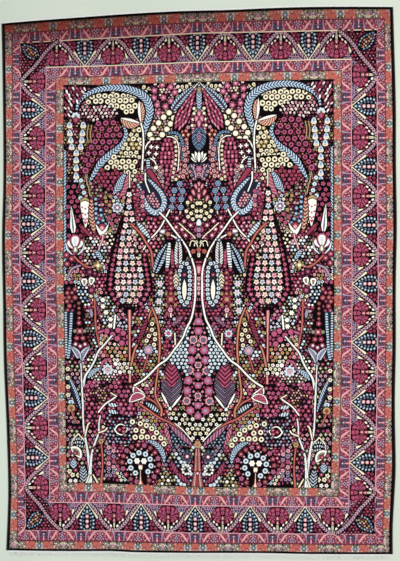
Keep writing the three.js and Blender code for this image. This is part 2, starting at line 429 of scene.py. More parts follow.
def main_repeat():
    tile = blank(MAIN_HALF, MAIN_DEEP)
    # crimson florets on black behind everything, mottled mauve towards the field
    bed(tile, [(0, 0), (MAIN_HALF, 0), (MAIN_HALF, 25), (0, 25)], [RED_FLORET, WINE_FLORET, DARK_FLORET,
        blossom(ROSE, PLUM, 4)], 3.9, 1.75, seed=3)
    bed(tile, [(6, 25), (12.4, 16.6), (16.4, 14.5), (27.5, 25)], [dot(PLUM, 0), dot(GROUND, 0),
        dot(CRIMSON, 0)], 2.3, 0.85, LILAC, seed=4)
    # the winding rope
    band(tile, [(-2, 0.7), (0, -0.1), (4, 1.3), (9.3, 5.1), (12.9, 8.6), (15.9, 12.6), (20.4, 18.2),
        (24.3, 21.9), (30, 25.4)], [1.6, 1.6], ROPE, rim=1.1)
    # round palmette: petals in rings on black
    ground_bed(tile, [(0, 0.9), (4.6, 4.2), (9.4, 8.4), (12, 14), (12, 18), (0, 18)], GROUND)
    stamp(tile, dot(GROUND, 0), 0, 16.2, 8.4, wide=1.5)
    outer, inner = bud(CRIMSON, ROSE, 1.0, rim=0.8), bud(ROSE, CRIMSON, 0.95, rim=0.8)
    for turn in (-58, -29, 0, 29, 58, 90):
        aim = np.radians(turn)
        stamp(tile, outer, 9.0 * np.cos(aim), 16.2 + 5.2 * np.sin(aim), 2.35, 180 + turn)
    for turn in (-60, -12, 36, 90):
        aim = np.radians(turn)
        stamp(tile, inner, 5.2 * np.cos(aim), 15.9 + 2.3 * np.sin(aim), 1.8, 180 + turn)
    stamp(tile, bud(RUST, PINK, 0.9, rim=0.8), 0, 13.6, 2.2, 90)
    stamp(tile, bud(CRIMSON, PINK, 0.8, rim=0.9), 0, 9.6, 2.1, 90)
    band(tile, [(0, 0.9), (0, 6.8)], [0.6, 1.0], cored(CREAM, OLIVE, 0.45), 0.7)
    for x, y, size, yarn in ((3.4, 4.4, 1.5, IVORY), (5.9, 7.6, 1.5, PINK), (9.2, 9.9, 1.4, CREAM)):
        stamp(tile, bud(yarn, IVORY, 0.6, rim=0.75), x, y, size, 230)
    band(tile, [(14.2, 17.8), (12.9, 14.6)], [1.3, 0.8, 0.5], CREAM)
    # pinecone of pale scales
    band(tile, [(MAIN_HALF, 0.2), (MAIN_HALF, 23.4)], [6.0, 8.0, 8.4, 8.2, 7.2, 5.6, 3.6, 0.8], GROUND, 1.0)
    for side, y, size, turn in ((3.2, 1.2, 1.2, 0), (6.2, 2.8, 1.5, 8), (6.9, 6.0, 1.5, 14),
            (6.8, 9.2, 1.5, 22), (5.9, 12.3, 1.5, 34), (4.5, 15.2, 1.5, 48), (2.8, 18.0, 1.4, 62)):
        stamp(tile, bud(SLATE, PALE, 0.75), MAIN_HALF - side, y, size, 180 - turn)
    for side, y in ((3.6, 5.2), (3.9, 8.4), (3.5, 11.6), (1.8, 15.4)):
        stamp(tile, blossom(SLATE, LILAC, 0, rim=0.4), MAIN_HALF - side, y, 1.0)
    for y in (3.6, 8.1, 12.6):
        stamp(tile, blossom(PINK, IVORY, 0, eye_size=0.35, rim=0.9), MAIN_HALF, y, 1.6)
    for y in (16.9, 20.6):
        stamp(tile, bud(SLATE, PALE, 0.85), MAIN_HALF, y, 1.5, 90)
    band(tile, [(18.3, 11.8), (20.6, 14.6), (23.6, 18.4), (26.9, 22.2), (28.8, 25.0)],
        [1.1, 0.7, 0.45, 0.4, 0.5], CREAM, 0.8)
    band(tile, [(26.2, 0.2), (MAIN_HALF, 0.2)], [0.6, 0.7], OLIVE, 0.2)
    return tile


# %% Guard repeats
CRIMSON_HALF = 19.8
CRIMSON_DEEP = 7.8
ORANGE_HALF = 27.2
ORANGE_DEEP = 6.8


def crimson_repeat():
    tile = blank(CRIMSON_HALF, CRIMSON_DEEP, CRIMSON)
    chance = np.random.default_rng(8)
    for k in range(38):
        kind = dot((PLUM, ROSE, PINK)[k % 3], 0)
        stamp(tile, kind, chance.uniform(6, CRIMSON_HALF), chance.uniform(0.4, 7.4), 0.55)
    # a pair of dark buds between pale brackets
    band(tile, [(4.9, 0.4), (5.0, 3.8), (6.2, 7.6)], [0.4, 0.6, 1.1], LILAC, 0.3, PLUM)
    band(tile, [(2.3, 2.2), (2.7, 4.2), (1.2, 6.6)], [0.8, 1.3, 0.9], chevrons([NAVY, PLUM, SLATE], 2.2),
        0.3, PLUM)
    band(tile, [(0, 0.2), (0, 4.6)], [0.7, 0.5, 0.4], PINK, 0.0)
    stamp(tile, blossom(LILAC, IVORY, 0, eye_size=0.4, rim=0.2), 0, 5.4, 1.0)
    # slanting stroke, then a small rosette
    band(tile, [(7.9, 0.8), (10.6, 3.6), (13.8, 6.7), (CRIMSON_HALF, 7.6)], [0.5, 0.95, 0.8, 0.3, 0.2],
        PINK, 0.5, RUST)
    stamp(tile, blossom(RUST, ROSE, 0, rim=0.2), 8.6, 6.0, 1.1)
    stamp(tile, blossom(RUST, PINK, 0, rim=0.2), 14.0, 2.2, 1.1)
    stamp(tile, blossom(LILAC, PLUM, 4, rim=0.35), CRIMSON_HALF, 3.4, 2.2)
    for x, y, size, yarn in ((3.4, 1.8, 0.8, LILAC), (2.6, 5.6, 0.7, PINK), (0.0, 6.3, 0.8, LILAC),
            (1.4, 1.0, 0.6, PINK)):
        stamp(tile, dot(yarn, 0.3), CRIMSON_HALF - x, y, size)
    return tile


def orange_repeat():
    """From the flowered block's middle at 0 to the small rosette at the far end."""
    tile = blank(ORANGE_HALF, ORANGE_DEEP, ORANGE)
    ground_bed(tile, [(0, 0), (12.6, 0), (11.4, 3.4), (12.6, 6.8), (0, 6.8)], OLIVE)
    ground_bed(tile, [(21.6, 0), (ORANGE_HALF, 0), (ORANGE_HALF, 6.8), (21.6, 6.8), (22.8, 3.4)], OLIVE)
    chance = np.random.default_rng(5)
    mixed = (PINK, PLUM, SLATE, GROUND, RUST, CREAM, LILAC)
    for k in range(64):
        kind = dot(mixed[k % 7], 0)
        stamp(tile, kind, chance.uniform(0, 12), chance.uniform(0.5, 6.3), chance.uniform(0.4, 0.7))
    for x, y in ((3.8, 1.5), (8.4, 1.6), (6.2, 5.2), (10.2, 5.0)):
        stamp(tile, blossom(GROUND, CREAM, 0, eye_size=0.4, rim=0.0), x, y, 1.0)
    for k in range(16):
        kind = dot(mixed[k % 7], 0)
        stamp(tile, kind, chance.uniform(22.4, ORANGE_HALF), chance.uniform(0.5, 6.3), 0.65)
    stamp(tile, blossom(PINK, RUST, 4, rim=0.3, edge=PLUM), 0, 3.4, 1.7)
    stamp(tile, blossom(SLATE, PALE, 4, eye_size=0.3, rim=0.3, edge=OLIVE), ORANGE_HALF, 3.4, 2.0, wide=1.3)
    for k in range(14):
        yarn = (PINK, RUST, CRIMSON, OLIVE)[k % 4]
        stamp(tile, dot(yarn, 0), chance.uniform(13.4, 21.0), chance.uniform(0.5, 6.3), 0.62)
    return tile


# %% [markdown]
# The strips are laid round the carpet by depth from the edge. Side strips and end strips meet on
# a diagonal at the corners, where the main border turns with a paisley of its own.

# %% Where each strip runs
# from, to, repeat; then half a repeat and its offset on the left, the right, the top and the bottom
STRIPS = (
    (1.6, 8.9, "orange", (28.3, 27.6, 27.4, 25.4), (-21.4, -20.5, 5.6, 33.2)),
    (9.4, 17.5, "crimson", (20.5, 20.1, 20.1, 19.45), (-25.8, -23.6, 0.0, 0.0)),
    (18.0, 42.9, "main", (29.0, 28.9, 27.8, 27.65), (26.1, 28.9, 27.8, 27.65)),
    (43.4, 52.6, "crimson", (20.5, 20.1, 20.1, 19.45), (-25.8, -23.6, 0.0, 0.0)),
    (53.0, 60.5, "orange", (27.2, 27.4, 26.5, 25.8), (-22.0, -20.5, 10.5, 31.6)),
)
MIDDLE_OF_END = (0.0, 0.0, -1.9, -2.35)
WHITE_LINE_DEPTH = 17.75
INNER_LINE_DEPTH = 43.15
DARK_LINES = ((9.1, PLUM), (52.8, PLUM), (60.7, GROUND))
BLACK_EDGE = (0, 2.2, 0, 2.3)


def stretch(y, which):
    """The main border's repeats grow longer near the ends of the sides."""
    low = np.where(which == 0, 0.0425 * np.maximum(y - 60, 0), 0.036 * np.maximum(y - 88, 0))
    high = np.where(which == 1, 0.066 * np.maximum(-144 - y, 0), 0.0)
    return np.where(which < 2, low - high, 0.0)


# %% Laying the borders
def repeat_yarns(tile, along, across, half, deep):
    """Look a repeat up, folded so that it runs forwards and backwards in turn."""
    rows, columns = tile.shape
    fold = np.abs(along % (2 * half))
    fold = np.where(fold > half, 2 * half - fold, fold)
    column = np.clip((fold / half * columns).astype(int), 0, columns - 1)
    row = np.clip((across / deep * rows).astype(int), 0, rows - 1)
    return tile[row, column]


def lay_borders(rug):
    """Fill a whole chart, counted from its left edge, with the borders."""
    width = 2 * (HALF_FIELD + SIDE_BORDER)
    view, x, y = window(rug, 0, 0, width, FIELD_LENGTH + 2 * END_BORDER)
    x = x - width / 2
    y = y - FIELD_LENGTH / 2 - END_BORDER
    side = HALF_FIELD + SIDE_BORDER - np.abs(x)
    end = (FIELD_LENGTH / 2 + END_BORDER - np.abs(y)) * SIDE_BORDER / END_BORDER
    depth = np.minimum(side, end)
    which = np.where(side < end, np.where(x < 0, 0, 1), np.where(y < 0, 2, 3))
    along = np.where(which < 2, y, np.abs(x - np.array(MIDDLE_OF_END)[which]))
    main, crimson, orange = main_repeat(), crimson_repeat(), orange_repeat()
    tie(view, np.uint8(GROUND), depth < SIDE_BORDER)
    for start, stop, name, halves, offsets in STRIPS:
        tile = {"main": main, "crimson": crimson, "orange": orange}[name]
        half, offset = np.array(halves)[which], np.array(offsets)[which]
        here = (depth >= start) & (depth < stop)
        pull = stretch(y, which) if name == "main" else 0.0
        tie(view, repeat_yarns(tile, along - pull - offset, depth - start, half, stop - start), here)
    for at in (WHITE_LINE_DEPTH, INNER_LINE_DEPTH):
        tie(view, np.where(which == 2, CREAM, PINK).astype(np.uint8), np.abs(depth - at) < 0.36)
    tie(view, np.uint8(GROUND), np.choose(which, BLACK_EDGE) > depth)
    for at, yarn in DARK_LINES:
        tie(view, np.uint8(yarn), np.abs(depth - at) < 0.34)
    for way in (-1, 1):
        for end, dip in ((0, 1), (FIELD_LENGTH + 2 * END_BORDER, -1)):
            fill_corner(rug, width / 2, way, end, dip)


# %% The corners
CORNER_BED = ((176.4, 60), (176.4, 20.2), (142.5, 20.2), (148.6, 27), (152, 35), (151.2, 43), (152.8, 46.6),
              (160, 52), (167, 58))
CORNER_ROPE = ((175.6, 61), (168.6, 52.4), (162, 45.2), (155.8, 36.2), (149, 27.8), (140.6, 20.6))
CORNER_PAISLEY = ((175.8, 21.2), (169.4, 27.6), (163.4, 33.6), (160, 37.6))


def fill_corner(rug, middle, way, end, dip):
    """The rope cuts the corner off, and a paisley points into it."""
    def place(points):
        return [(middle + way * px, end + dip * py) for px, py in points]
    bed(rug, place(CORNER_BED), [RED_FLORET, WINE_FLORET, DARK_FLORET], 3.4, 1.45, seed=6)
    band(rug, place(CORNER_ROPE), [1.6, 1.6], ROPE, 1.1)
    line = place(CORNER_PAISLEY)
    halves = [0.9, 3.6, 5.6, 6.8, 7.2, 5.8, 1.2]
    band(rug, line, halves, GROUND)
    rows_along(rug, line, halves, [bud(SLATE, PALE, 0.7, rim=0.5), bud(SLATE, SKY, 0.7, rim=0.5)], 2.8, 1.3,
               inset=0.5, start=1.5)
    rows_along(rug, line, [w - 3.0 for w in halves], [dot(RUST, 0.8), dot(PINK, 0.8), dot(GOLD, 0.8)],
               2.7, 1.0, inset=0.4, start=4.0)


# %% [markdown]
# ## The garden in the field
# The field is a garden seen from the middle line outwards: two big bent paisleys above, cypresses
# and flowering trees below, and round flower wreaths at the foot. Only one half is drawn. The
# other half is its mirror image, as on the weaver's own chart.

# %% Ground strewn with small florets
def strew_ground(field):
    everywhere = [(0, 0), (HALF_FIELD, 0), (HALF_FIELD, FIELD_LENGTH), (0, FIELD_LENGTH)]
    bed(field, everywhere, [ROSY, RUBY, CRIMSON_BUD, ROSE_PALE, PLUMMY, RUBY, PINKY, GOLDEN, ROSY,
        PALE_FLOWER, CREAM_GOLD], 4.1, 1.8, lean=180, seed=11)


# %% The big bent paisley
def big_paisley(field):
    inner = [(113, 28), (112, 18), (104, 10.5), (94, 7.5), (83, 7), (72, 8.5), (62, 12.5), (57, 18),
             (60, 30), (66, 43), (72, 60), (84, 75), (98, 88), (108, 98), (113, 84), (115, 66), (114, 45)]
    ground_bed(field, inner, GROUND)
    bed(field, [(113, 26), (112, 15), (104, 9), (94, 6.5), (83, 6), (72, 8), (61, 12), (60, 22), (66, 30),
                (76, 27), (84, 22), (96, 19), (106, 22)], [CREAM_RING], 6.1, 2.75, seed=2)
    bed(field, [(118, 21), (108, 19), (96, 19.5), (84, 23), (80, 30), (84, 37), (96, 34), (106, 36),
        (114, 33)], [bud(IVORY, PINK, 0.6, rim=0.9), bud(PLUM, ROSE, 0.5), bud(PINK, ROSE, 0.6, rim=0.9),
        bud(IVORY, PINK, 0.6, rim=0.9)], 3.7, 1.6, turn=60, lean=35, seed=3)
    pod = [(90.6, 32.7), (82.6, 35), (75.7, 43.6), (74.5, 50.5), (76.8, 56.8), (86, 67.8), (97.5, 76.4),
           (103.3, 82), (110.7, 92), (115.9, 76.4), (113.4, 64.9), (111.1, 53.4), (107.3, 45.4), (101, 38)]
    bed(field, pod, [GOLD_DOT, dot(CRIMSON), dot(RUST)], 2.9, 0.85, seed=9)
    bed(field, pod, [MAGENTA_RING], 7.0, 2.45, None, seed=4)
    # the second feather hugs the pod
    band(field, [(75.4, 41), (72.4, 47), (72.6, 53), (75.4, 59.5), (81, 65.4), (88.6, 71.4), (96, 78),
        (101, 85), (106, 94), (109, 100)], [0.7, 1.7, 2.2, 2.8, 3.2, 3.5, 3.4, 2.4, 1.6, 0.6], FEATHER_BLUE,
        1.5)
    # cream blades with rust crescents, meeting at a point
    joint = (57.4, 39.5)
    crescent = slashes([ORANGE, CREAM, RUST, ORANGE], 3.0)
    leaf(field, (58.0, 18), joint, 4.3, crescent, 1.0, bend=0.18)
    leaf(field, (59.2, 16.6), joint, 1.3, IVORY, bend=-0.03)
    leaf(field, (77.7, 34.8), joint, 3.8, crescent, 1.0, bend=-0.17)
    leaf(field, (78.2, 33.6), joint, 1.3, IVORY, bend=0.02)
    # the outer arch
    band(field, [(121, 24.5), (119.4, 18), (114.7, 12.2), (105.6, 6.4), (94.6, 3.6), (83.2, 2.9),
        (71.7, 4.4), (60.2, 8.6), (52.9, 14.4), (50.0, 20), (48.7, 29), (51.6, 40), (54.4, 50), (54.4, 58)],
        [1.0, 1.6, 2.1, 2.5, 2.8, 3.0, 3.3, 3.6, 3.8, 3.8, 3.6, 3.0, 2.1, 1.0], FEATHER_BLUE, 1.5)
    bed(field, [(58, 42), (64, 44), (70, 47), (70.4, 53), (74, 61), (78, 68), (86, 75), (70, 76), (58, 74),
        (56.6, 60)], [CREAM_GOLD, CREAM_RING, blossom(GOLD, CREAM), CREAM_GOLD], 5.2, 2.35, seed=6)
    stem(field, [joint, (55.4, 48), (54.9, 60), (55.4, 72), (56.2, 86)], 0.75, IVORY, 0.9)
    bed(field, [(60, 74), (86, 73), (94, 80), (97, 88), (62, 90)], [CREAM_RING], 6.0, 2.6, seed=7)


# %% Left edge: corner, bells and lily
def left_edge(field):
    corner = [(103, 0), (HALF_FIELD, 0), (HALF_FIELD, 34), (124, 32), (123, 20), (114, 9)]
    bed(field, corner, [bud(IVORY, PINK, 0.36), bud(CRIMSON, PLUM, 0.5), bud(PINK, IVORY, 0.36),
        bud(PLUM, ROSE, 0.5), bud(IVORY, IVORY, 0.36), bud(CRIMSON, ROSE, 0.5)], 3.9, 2.3, turn=125,
        lean=30, seed=8)
    bed(field, [(103, 44), (111, 33), (HALF_FIELD, 34), (HALF_FIELD, 100), (113, 98), (116, 76), (110, 56)],
        [WINE_FLORET, OLIVE_DOT, blossom(PINK, CRIMSON, 0), dot(GOLD), PLUM_DOT], 3.2, 1.0, seed=9)
    stamp(field, blossom(PALE, OLIVE, 7, notch=0.1, eye_size=0.3, rim=1.0), 121.8, 31.4, 4.4)
    stamp(field, bud(CRIMSON, ROSE, 0.9), 121.8, 35.2, 3.0, 90)
    for x, y in ((128, 39.6), (114.4, 39.6), (127.6, 47.8), (115.2, 47.8), (126.8, 54.8), (115.8, 54.8),
            (125.8, 61.6), (117, 61.6), (121.3, 67.8), (121.3, 75.2), (121.3, 83.2), (121.3, 91.2),
            (121.3, 97.8)):
        stamp(field, bud(CREAM, PINK, 0.9, rim=1.0), x, y + 1.0, 2.9, -90)
        stamp(field, bud(PALE, SKY, 0.9, rim=0), x, y - 0.4, 2.4, -90)
    spread(field, RUBY, 1.9, (121.2, 46.6), (121.3, 58), (128.5, 71), (115.6, 73.6), (128.4, 80))
    for x in (110.6, 107.4):
        stem(field, [(x - 1.4, 40.5), (x, 49), (x - 1, 58)], 0.5, GOLD)
    band(field, [(132.5, 67), (132.6, 186)], [1.35, 1.35], slashes([SKY, PALE, GROUND], 3.2, 1.1), 0.9)
    bed(field, [(114.5, 98), (131, 98), (131, 154), (114.5, 154)], [blossom(ROSE, CRIMSON, eye_size=0.5,
        rim=1.0), blossom(CRIMSON, PLUM, eye_size=0.3, rim=1.0)], 5.7, 2.2, seed=10)
    band(field, [(126.2, 123), (124, 148)], [0.3, 0.9, 1.4, 1.9, 2.4, 2.8, 1.8], cored(IVORY, SLATE, 0.3),
        1.1)
    # white lily: three petals edged with rose, two long sepals, a green heart
    for lean, size in ((-1, 6.2), (1, 6.2), (0, 7.0)):
        stamp(field, bud(ROSE, IVORY, rim=1.0), 122.2 + lean * 3.6, 161.6 - (lean == 0) * 3, size,
            90 + lean * 38)
        stamp(field, bud(IVORY, PALE, 0.56, rim=0), 122.2 + lean * 3.5, 161.8 - (lean == 0) * 3, size - 1.2,
            90 + lean * 38)
    stamp(field, bud(OLIVE, IVORY, 0.7, rim=0.4), 122, 166.4, 3.4, -90)
    for side in (-1, 1):
        band(field, [(122.2 + side * 9.4, 160), (122.2 + side * 7.6, 166.4), (122.2 + side * 3, 171.6)],
             [0.5, 0.9, 0.9, 0.4], PALE, 0.8)


# %% Second column: hanging blossom, tulip and rosette
def second_column(field):
    bed(field, [(104, 95), (99, 86), (74, 86), (75, 97), (84, 109), (90, 110)],
        [blossom(CRIMSON, RUST, 0, rim=0.9), ROSY, blossom(CRIMSON, ROSE, 0, rim=0.9)], 4.5, 1.95, seed=12)
    bed(field, [(89, 110), (104, 97), (118, 100), (118, 118), (104, 122), (88, 146), (74, 146), (76, 130),
        (88, 124)], [blossom(PLUM, CRIMSON, 0), blossom(OLIVE, GOLD, 0), WINE_FLORET,
        blossom(PINK, PLUM, 0)], 3.5, 1.3, seed=50)
    stamp(field, blossom(ROSE, PLUM, 0, eye_size=0.5, rim=0.9), 112, 86.4, 3.0)
    spread(field, SKY_DISC, 2.1, (116.6, 96.5), (115, 102.7), (113.5, 108.9), (117, 114.4))
    stem(field, [(111.8, 91), (110.8, 98), (109, 104), (107.4, 112)], 0.6, GOLD)
    # white hanging blossom in frills, under its cap
    band(field, [(112.6, 118.6), (111.8, 143.6)], [4.4, 4.5, 3.6, 3.0, 2.0, 0.6], IVORY, 1.1)
    for y, half in ((125, 3.2), (131, 2.6), (136.4, 1.8), (140, 0.8)):
        for k in (-1, 0, 1):
            stamp(field, dot(ROSE, 0), 112.2 + k * half, y - abs(k) * 1.2, 1.0)
    band(field, [(108.2, 117.4), (112.6, 115), (117, 117.4)], [0.6, 1.3, 0.6], GOLD, 0.8)
    band(field, [(106.2, 116.5), (105.6, 132), (103.6, 148.6)], [1.2, 2.0, 2.7, 3.0, 2.4, 1.2],
         chevrons([ORANGE, ORANGE, CREAM, RUST, GROUND], 3.6), 1.0)
    stem(field, [(115.4, 144), (105.4, 155)], 1.7, CRIMSON, 0.9, end=0.9)
    spread(field, blossom(SKY, PALE, 0, rim=1.0), 1.6, (102, 115.4), (101.7, 120.2), (101.7, 125.2),
        (101.8, 130), (101.6, 134.8), (99.6, 139.2), (97, 126.4), (96.6, 131.8), (94.8, 137), (92.4, 141))
    # tulip: crimson cup in a white calyx
    stamp(field, blossom(CRIMSON, PINK, 0, eye_size=0.45, rim=0.9), 95.7, 144.8, 4.0, wide=1.1)
    band(field, [(101.6, 141.6), (99, 146.6), (95.5, 150.6), (92, 146.6), (89.6, 141.6)],
        [0.4, 1.2, 2.2, 1.2, 0.4], IVORY, 0.7)
    leaf(field, (72.6, 89), (84.6, 110.5), 4.2, chevrons([SKY, PALE, GROUND], 2.8), 1.2, bend=0.05)
    leaf(field, (70.2, 90), (79.0, 115), 3.0, slashes([ROSE, CRIMSON, PINK, CRIMSON], 4.0), 1.0, bend=0.12)
    stem(field, [(68.5, 88), (68.5, 106)], 0.55, CREAM)
    spread(field, blossom(GOLD, ORANGE, rim=0.9), 1.9, (92.5, 114), (87.5, 112.8), (91.6, 118),
        (88.4, 121.6))
    stamp(field, blossom(PALE, LILAC, 8, notch=0.12, eye_size=0.66, rim=1.0), 80.6, 124.2, 5.6)
    stamp(field, blossom(PLUM, IVORY, 6, notch=0.3, eye_size=0.4, rim=0), 80.6, 124.2, 3.2)
    column(field, [RUBY, ROSY], 60.6, 107, 134, 4.6, 2.4)
    column(field, [ROSY, PINKY], 55.6, 109, 132, 4.6, 2.2)
    bed(field, [(76, 150), (92, 150), (90, 166), (80, 166), (78, 158)], [WHITE_DOT, dot(CREAM)], 4.0, 1.15,
        seed=13)
    spread(field, ROSY, 2.3, (84, 132), (89, 135), (86, 140.5), (81.6, 137.4))
    spread(field, blossom(GOLD, OLIVE), 2.0, (88, 128), (87.6, 147.6))


# %% The main cypress
def main_cypress(field):
    spine = [(68.9, 106), (68.9, 232)]
    widths = [1.2, 3.2, 5.6, 10.8, 14.2, 17, 20, 22, 23, 17, 3]
    band(field, spine, widths, GROUND)
    rows_along(field, spine, widths, [blossom(ROSE, CRIMSON, 4, rim=0.9),
        blossom(ROSE, PINK, eye_size=0.2, rim=0.9), blossom(CRIMSON, ROSE, 4, rim=0.9)], 4.9, 2.15,
        inset=1.4)
    inner = [1.8, 3.4, 5.0, 7.4, 9.6, 11.4, 13.2, 14.6, 15.0, 13.0, 5]
    inner_line = [(68.9, 108), (68.9, 226)]
    band(field, inner_line, inner, GROUND, 1.2)
    left = [(68.9 - w, 108 + 11.8 * k) for k, w in enumerate(inner)]
    right = [(68.9 + w, 108 + 11.8 * k) for k, w in enumerate(inner)]
    bed(field, left + right[::-1], [dot(PINK), OLIVE_DOT, PLUM_DOT], 3.4, 0.9, None, seed=51)
    rows_along(field, inner_line, inner, [blossom(IVORY, PINK, eye_size=0.45, rim=0.9),
        blossom(PINK, CREAM, eye_size=0.3, rim=0.9), blossom(PALE, LILAC, eye_size=0.5, rim=0.9),
        blossom(CREAM, PINK, eye_size=0.5, rim=0.9), blossom(PINK, ROSE, eye_size=0.3, rim=0.9)], 6.3, 2.8,
        inset=0.2)
    band(field, [(68.7, 229), (68.7, 302)], [1.6, 1.0, 1.0, 1.2], cored(ORANGE, PINK), 1.0)


# %% Stems, dots and flowers beside the cypress
def beside_cypress(field):
    bed(field, [(92, 156), (113, 152), (113, 178), (104, 190), (96, 190), (90, 172)],
        [WHITE_DOT, PALE_DOT, blossom(PLUM, LILAC, 0), OLIVE_DOT, PINK_DOT], 3.7, 1.25, seed=52)
    stem(field, [(94.8, 152), (95.4, 157), (97.9, 163), (99.6, 171)], 0.75, PINK)
    spread(field, blossom(CRIMSON, PINK, 0, eye_size=0.35, rim=1.0), 2.7, (130.8, 172), (125.8, 176),
        (130.4, 181))
    band(field, [(117.4, 182.8), (125.4, 186), (130.4, 195)], [0.8, 1.0, 0.8], LILAC, 0.7)
    for x, y in ((119.6, 187), (123, 189.4), (126.2, 193)):
        stamp(field, bud(PINK, ROSE, 0.4), x, y, 2.0, 100)
    stem(field, [(123.1, 173.5), (119, 178), (113.1, 182.8), (107, 185)], 0.85, ORANGE)
    stamp(field, blossom(GOLD, CREAM, 4, notch=0.26, rim=1.0), 99.8, 182.8, 4.6)
    leaf(field, (102.4, 167), (94.6, 178), 2.4, chevrons([PALE, SKY, GROUND], 2.6), 1.0)
    for x, y, size in ((108.1, 189.4, 3.8), (103, 191, 2.6)):
        stamp(field, blossom(PLUM, ROSE, 6, rim=1.0), x, y, size)
    for x, y, turn in ((113.5, 199.8, 90), (106.4, 198.6, 80)):
        stamp(field, bud(IVORY, OLIVE, 0.7, rim=0.9), x, y, 4.0, turn)
    stamp(field, blossom(PLUM, ROSE, 7, notch=0.2, rim=1.0), 106.6, 207.8, 4.6)
    bed(field, [(110, 204), (122, 202), (122, 224), (109, 224)], [PALE_DOT, WHITE_DOT, dot(SKY)],
        3.9, 1.2, seed=14)
    bed(field, [(123, 202), (HALF_FIELD, 202), (HALF_FIELD, 229), (121, 229)],
        [RUBY, blossom(CRIMSON, GOLD, 0, eye_size=0.4), blossom(PLUM, ROSE)], 5.0, 2.3, seed=15)
    ground_bed(field, [(122, 229), (HALF_FIELD, 229), (HALF_FIELD, 276), (126, 276)], NAVY)
    for path in ([(132.5, 230), (132.5, 274)], [(126.8, 231), (127.8, 249), (129.4, 268), (131, 277)]):
        band(field, path, [1.3, 1.3], slashes([PALE, SKY, GROUND], 2.5, 0))
    # flower paisley with its two leaves
    band(field, [(118.9, 220), (118.7, 246), (118.2, 278)], [2, 4, 5, 5.4, 7, 8, 7, 4, 1], GROUND, 0.9)
    column(field, [blossom(RUST, OLIVE, 0), blossom(CRIMSON, GOLD, 4)], 119.2, 221, 237, 5.0, 1.8)
    spread(field, RUBY, 2.9, (119.2, 241), (121.8, 256.4), (115.6, 256.4))
    stamp(field, blossom(CRIMSON, PINK, 4, notch=0.24, rim=1.0), 118.6, 249.3, 4.2, 45)
    spread(field, blossom(OLIVE, GOLD, 0), 1.8, (123.4, 249.2), (113.8, 249.2))
    spread(field, blossom(CRIMSON, PALE, eye_size=0.42, rim=0.8), 3.0, (123, 262.6), (113.6, 262.6),
        (118.3, 264.6))
    spread(field, blossom(CRIMSON, PINK, rim=0.8), 2.4, (120.6, 269.6), (116, 269.6), (118.3, 274.2))
    for side in (-1, 1):
        leaf(field, (118.2 + side * 9.4, 264.6), (118.1, 281.6), 2.9,
            cored(PALE, slashes([LILAC, SLATE], 2.6), 0.6), 0.9, bend=side * 0.1)
    bed(field, [(108, 226), (114, 236), (110, 262), (104, 274), (100, 270), (103, 244)],
        [blossom(OLIVE, PLUM, 0), LILAC_FLORET, blossom(PLUM, ROSE, 0), PALE_DOT, dot(RUST)],
        3.4, 1.15, seed=53)
    stem(field, [(103.3, 217), (103, 232), (102.4, 246), (99.8, 260), (98.4, 270)], 0.8, ORANGE, 0.8)
    leaf(field, (102.2, 222), (96.2, 241), 2.0, slashes([ROSE, PLUM], 3.4), 0.9, bend=0.06)
    leaf(field, (106.4, 236), (107.4, 226), 1.5, LILAC, 0.8)
    bed(field, [(84, 212), (99, 212), (96, 246), (84, 246)], [blossom(OLIVE, GOLD, 4),
        blossom(GOLD, CREAM, 0), PALE_DOT], 3.7, 1.2, seed=16)
    spread(field, blossom(IVORY, CREAM, 6, rim=1.0), 2.6, (95.2, 217.6), (95.2, 224.2), (92.2, 230.2),
        (87.7, 237.2), (88.2, 243.6))
    bed(field, [(64, 237), (83, 237), (83, 247), (64, 247)], [blossom(LILAC, PALE, 4),
        blossom(PALE, LILAC, 4), OLIVE_DOT], 4.0, 1.6, seed=54)
    bed(field, [(72, 260), (96, 258), (100, 268), (94, 281), (72, 281)],
        [ORANGEY, blossom(PINK, ORANGE), blossom(GOLD, ORANGE), blossom(CREAM, ORANGE)], 4.7, 1.9, seed=18)
    stem(field, [(83, 233), (84.4, 246)], 0.85, IVORY, 0.9)
    spread(field, dot(ROSE, 1.0), 2.7, (91.7, 249.2), (85.8, 252.6), (80.2, 248.2), (75.2, 251),
        (69.6, 254.8), (81.2, 256.6), (76.6, 261), (69.8, 260.8))
    leaf(field, (102, 251.6), (93, 248), 1.3, ROSE, 0.8)


# %% Lower left: trees with white trunks
BARK = cored(IVORY, PALE)


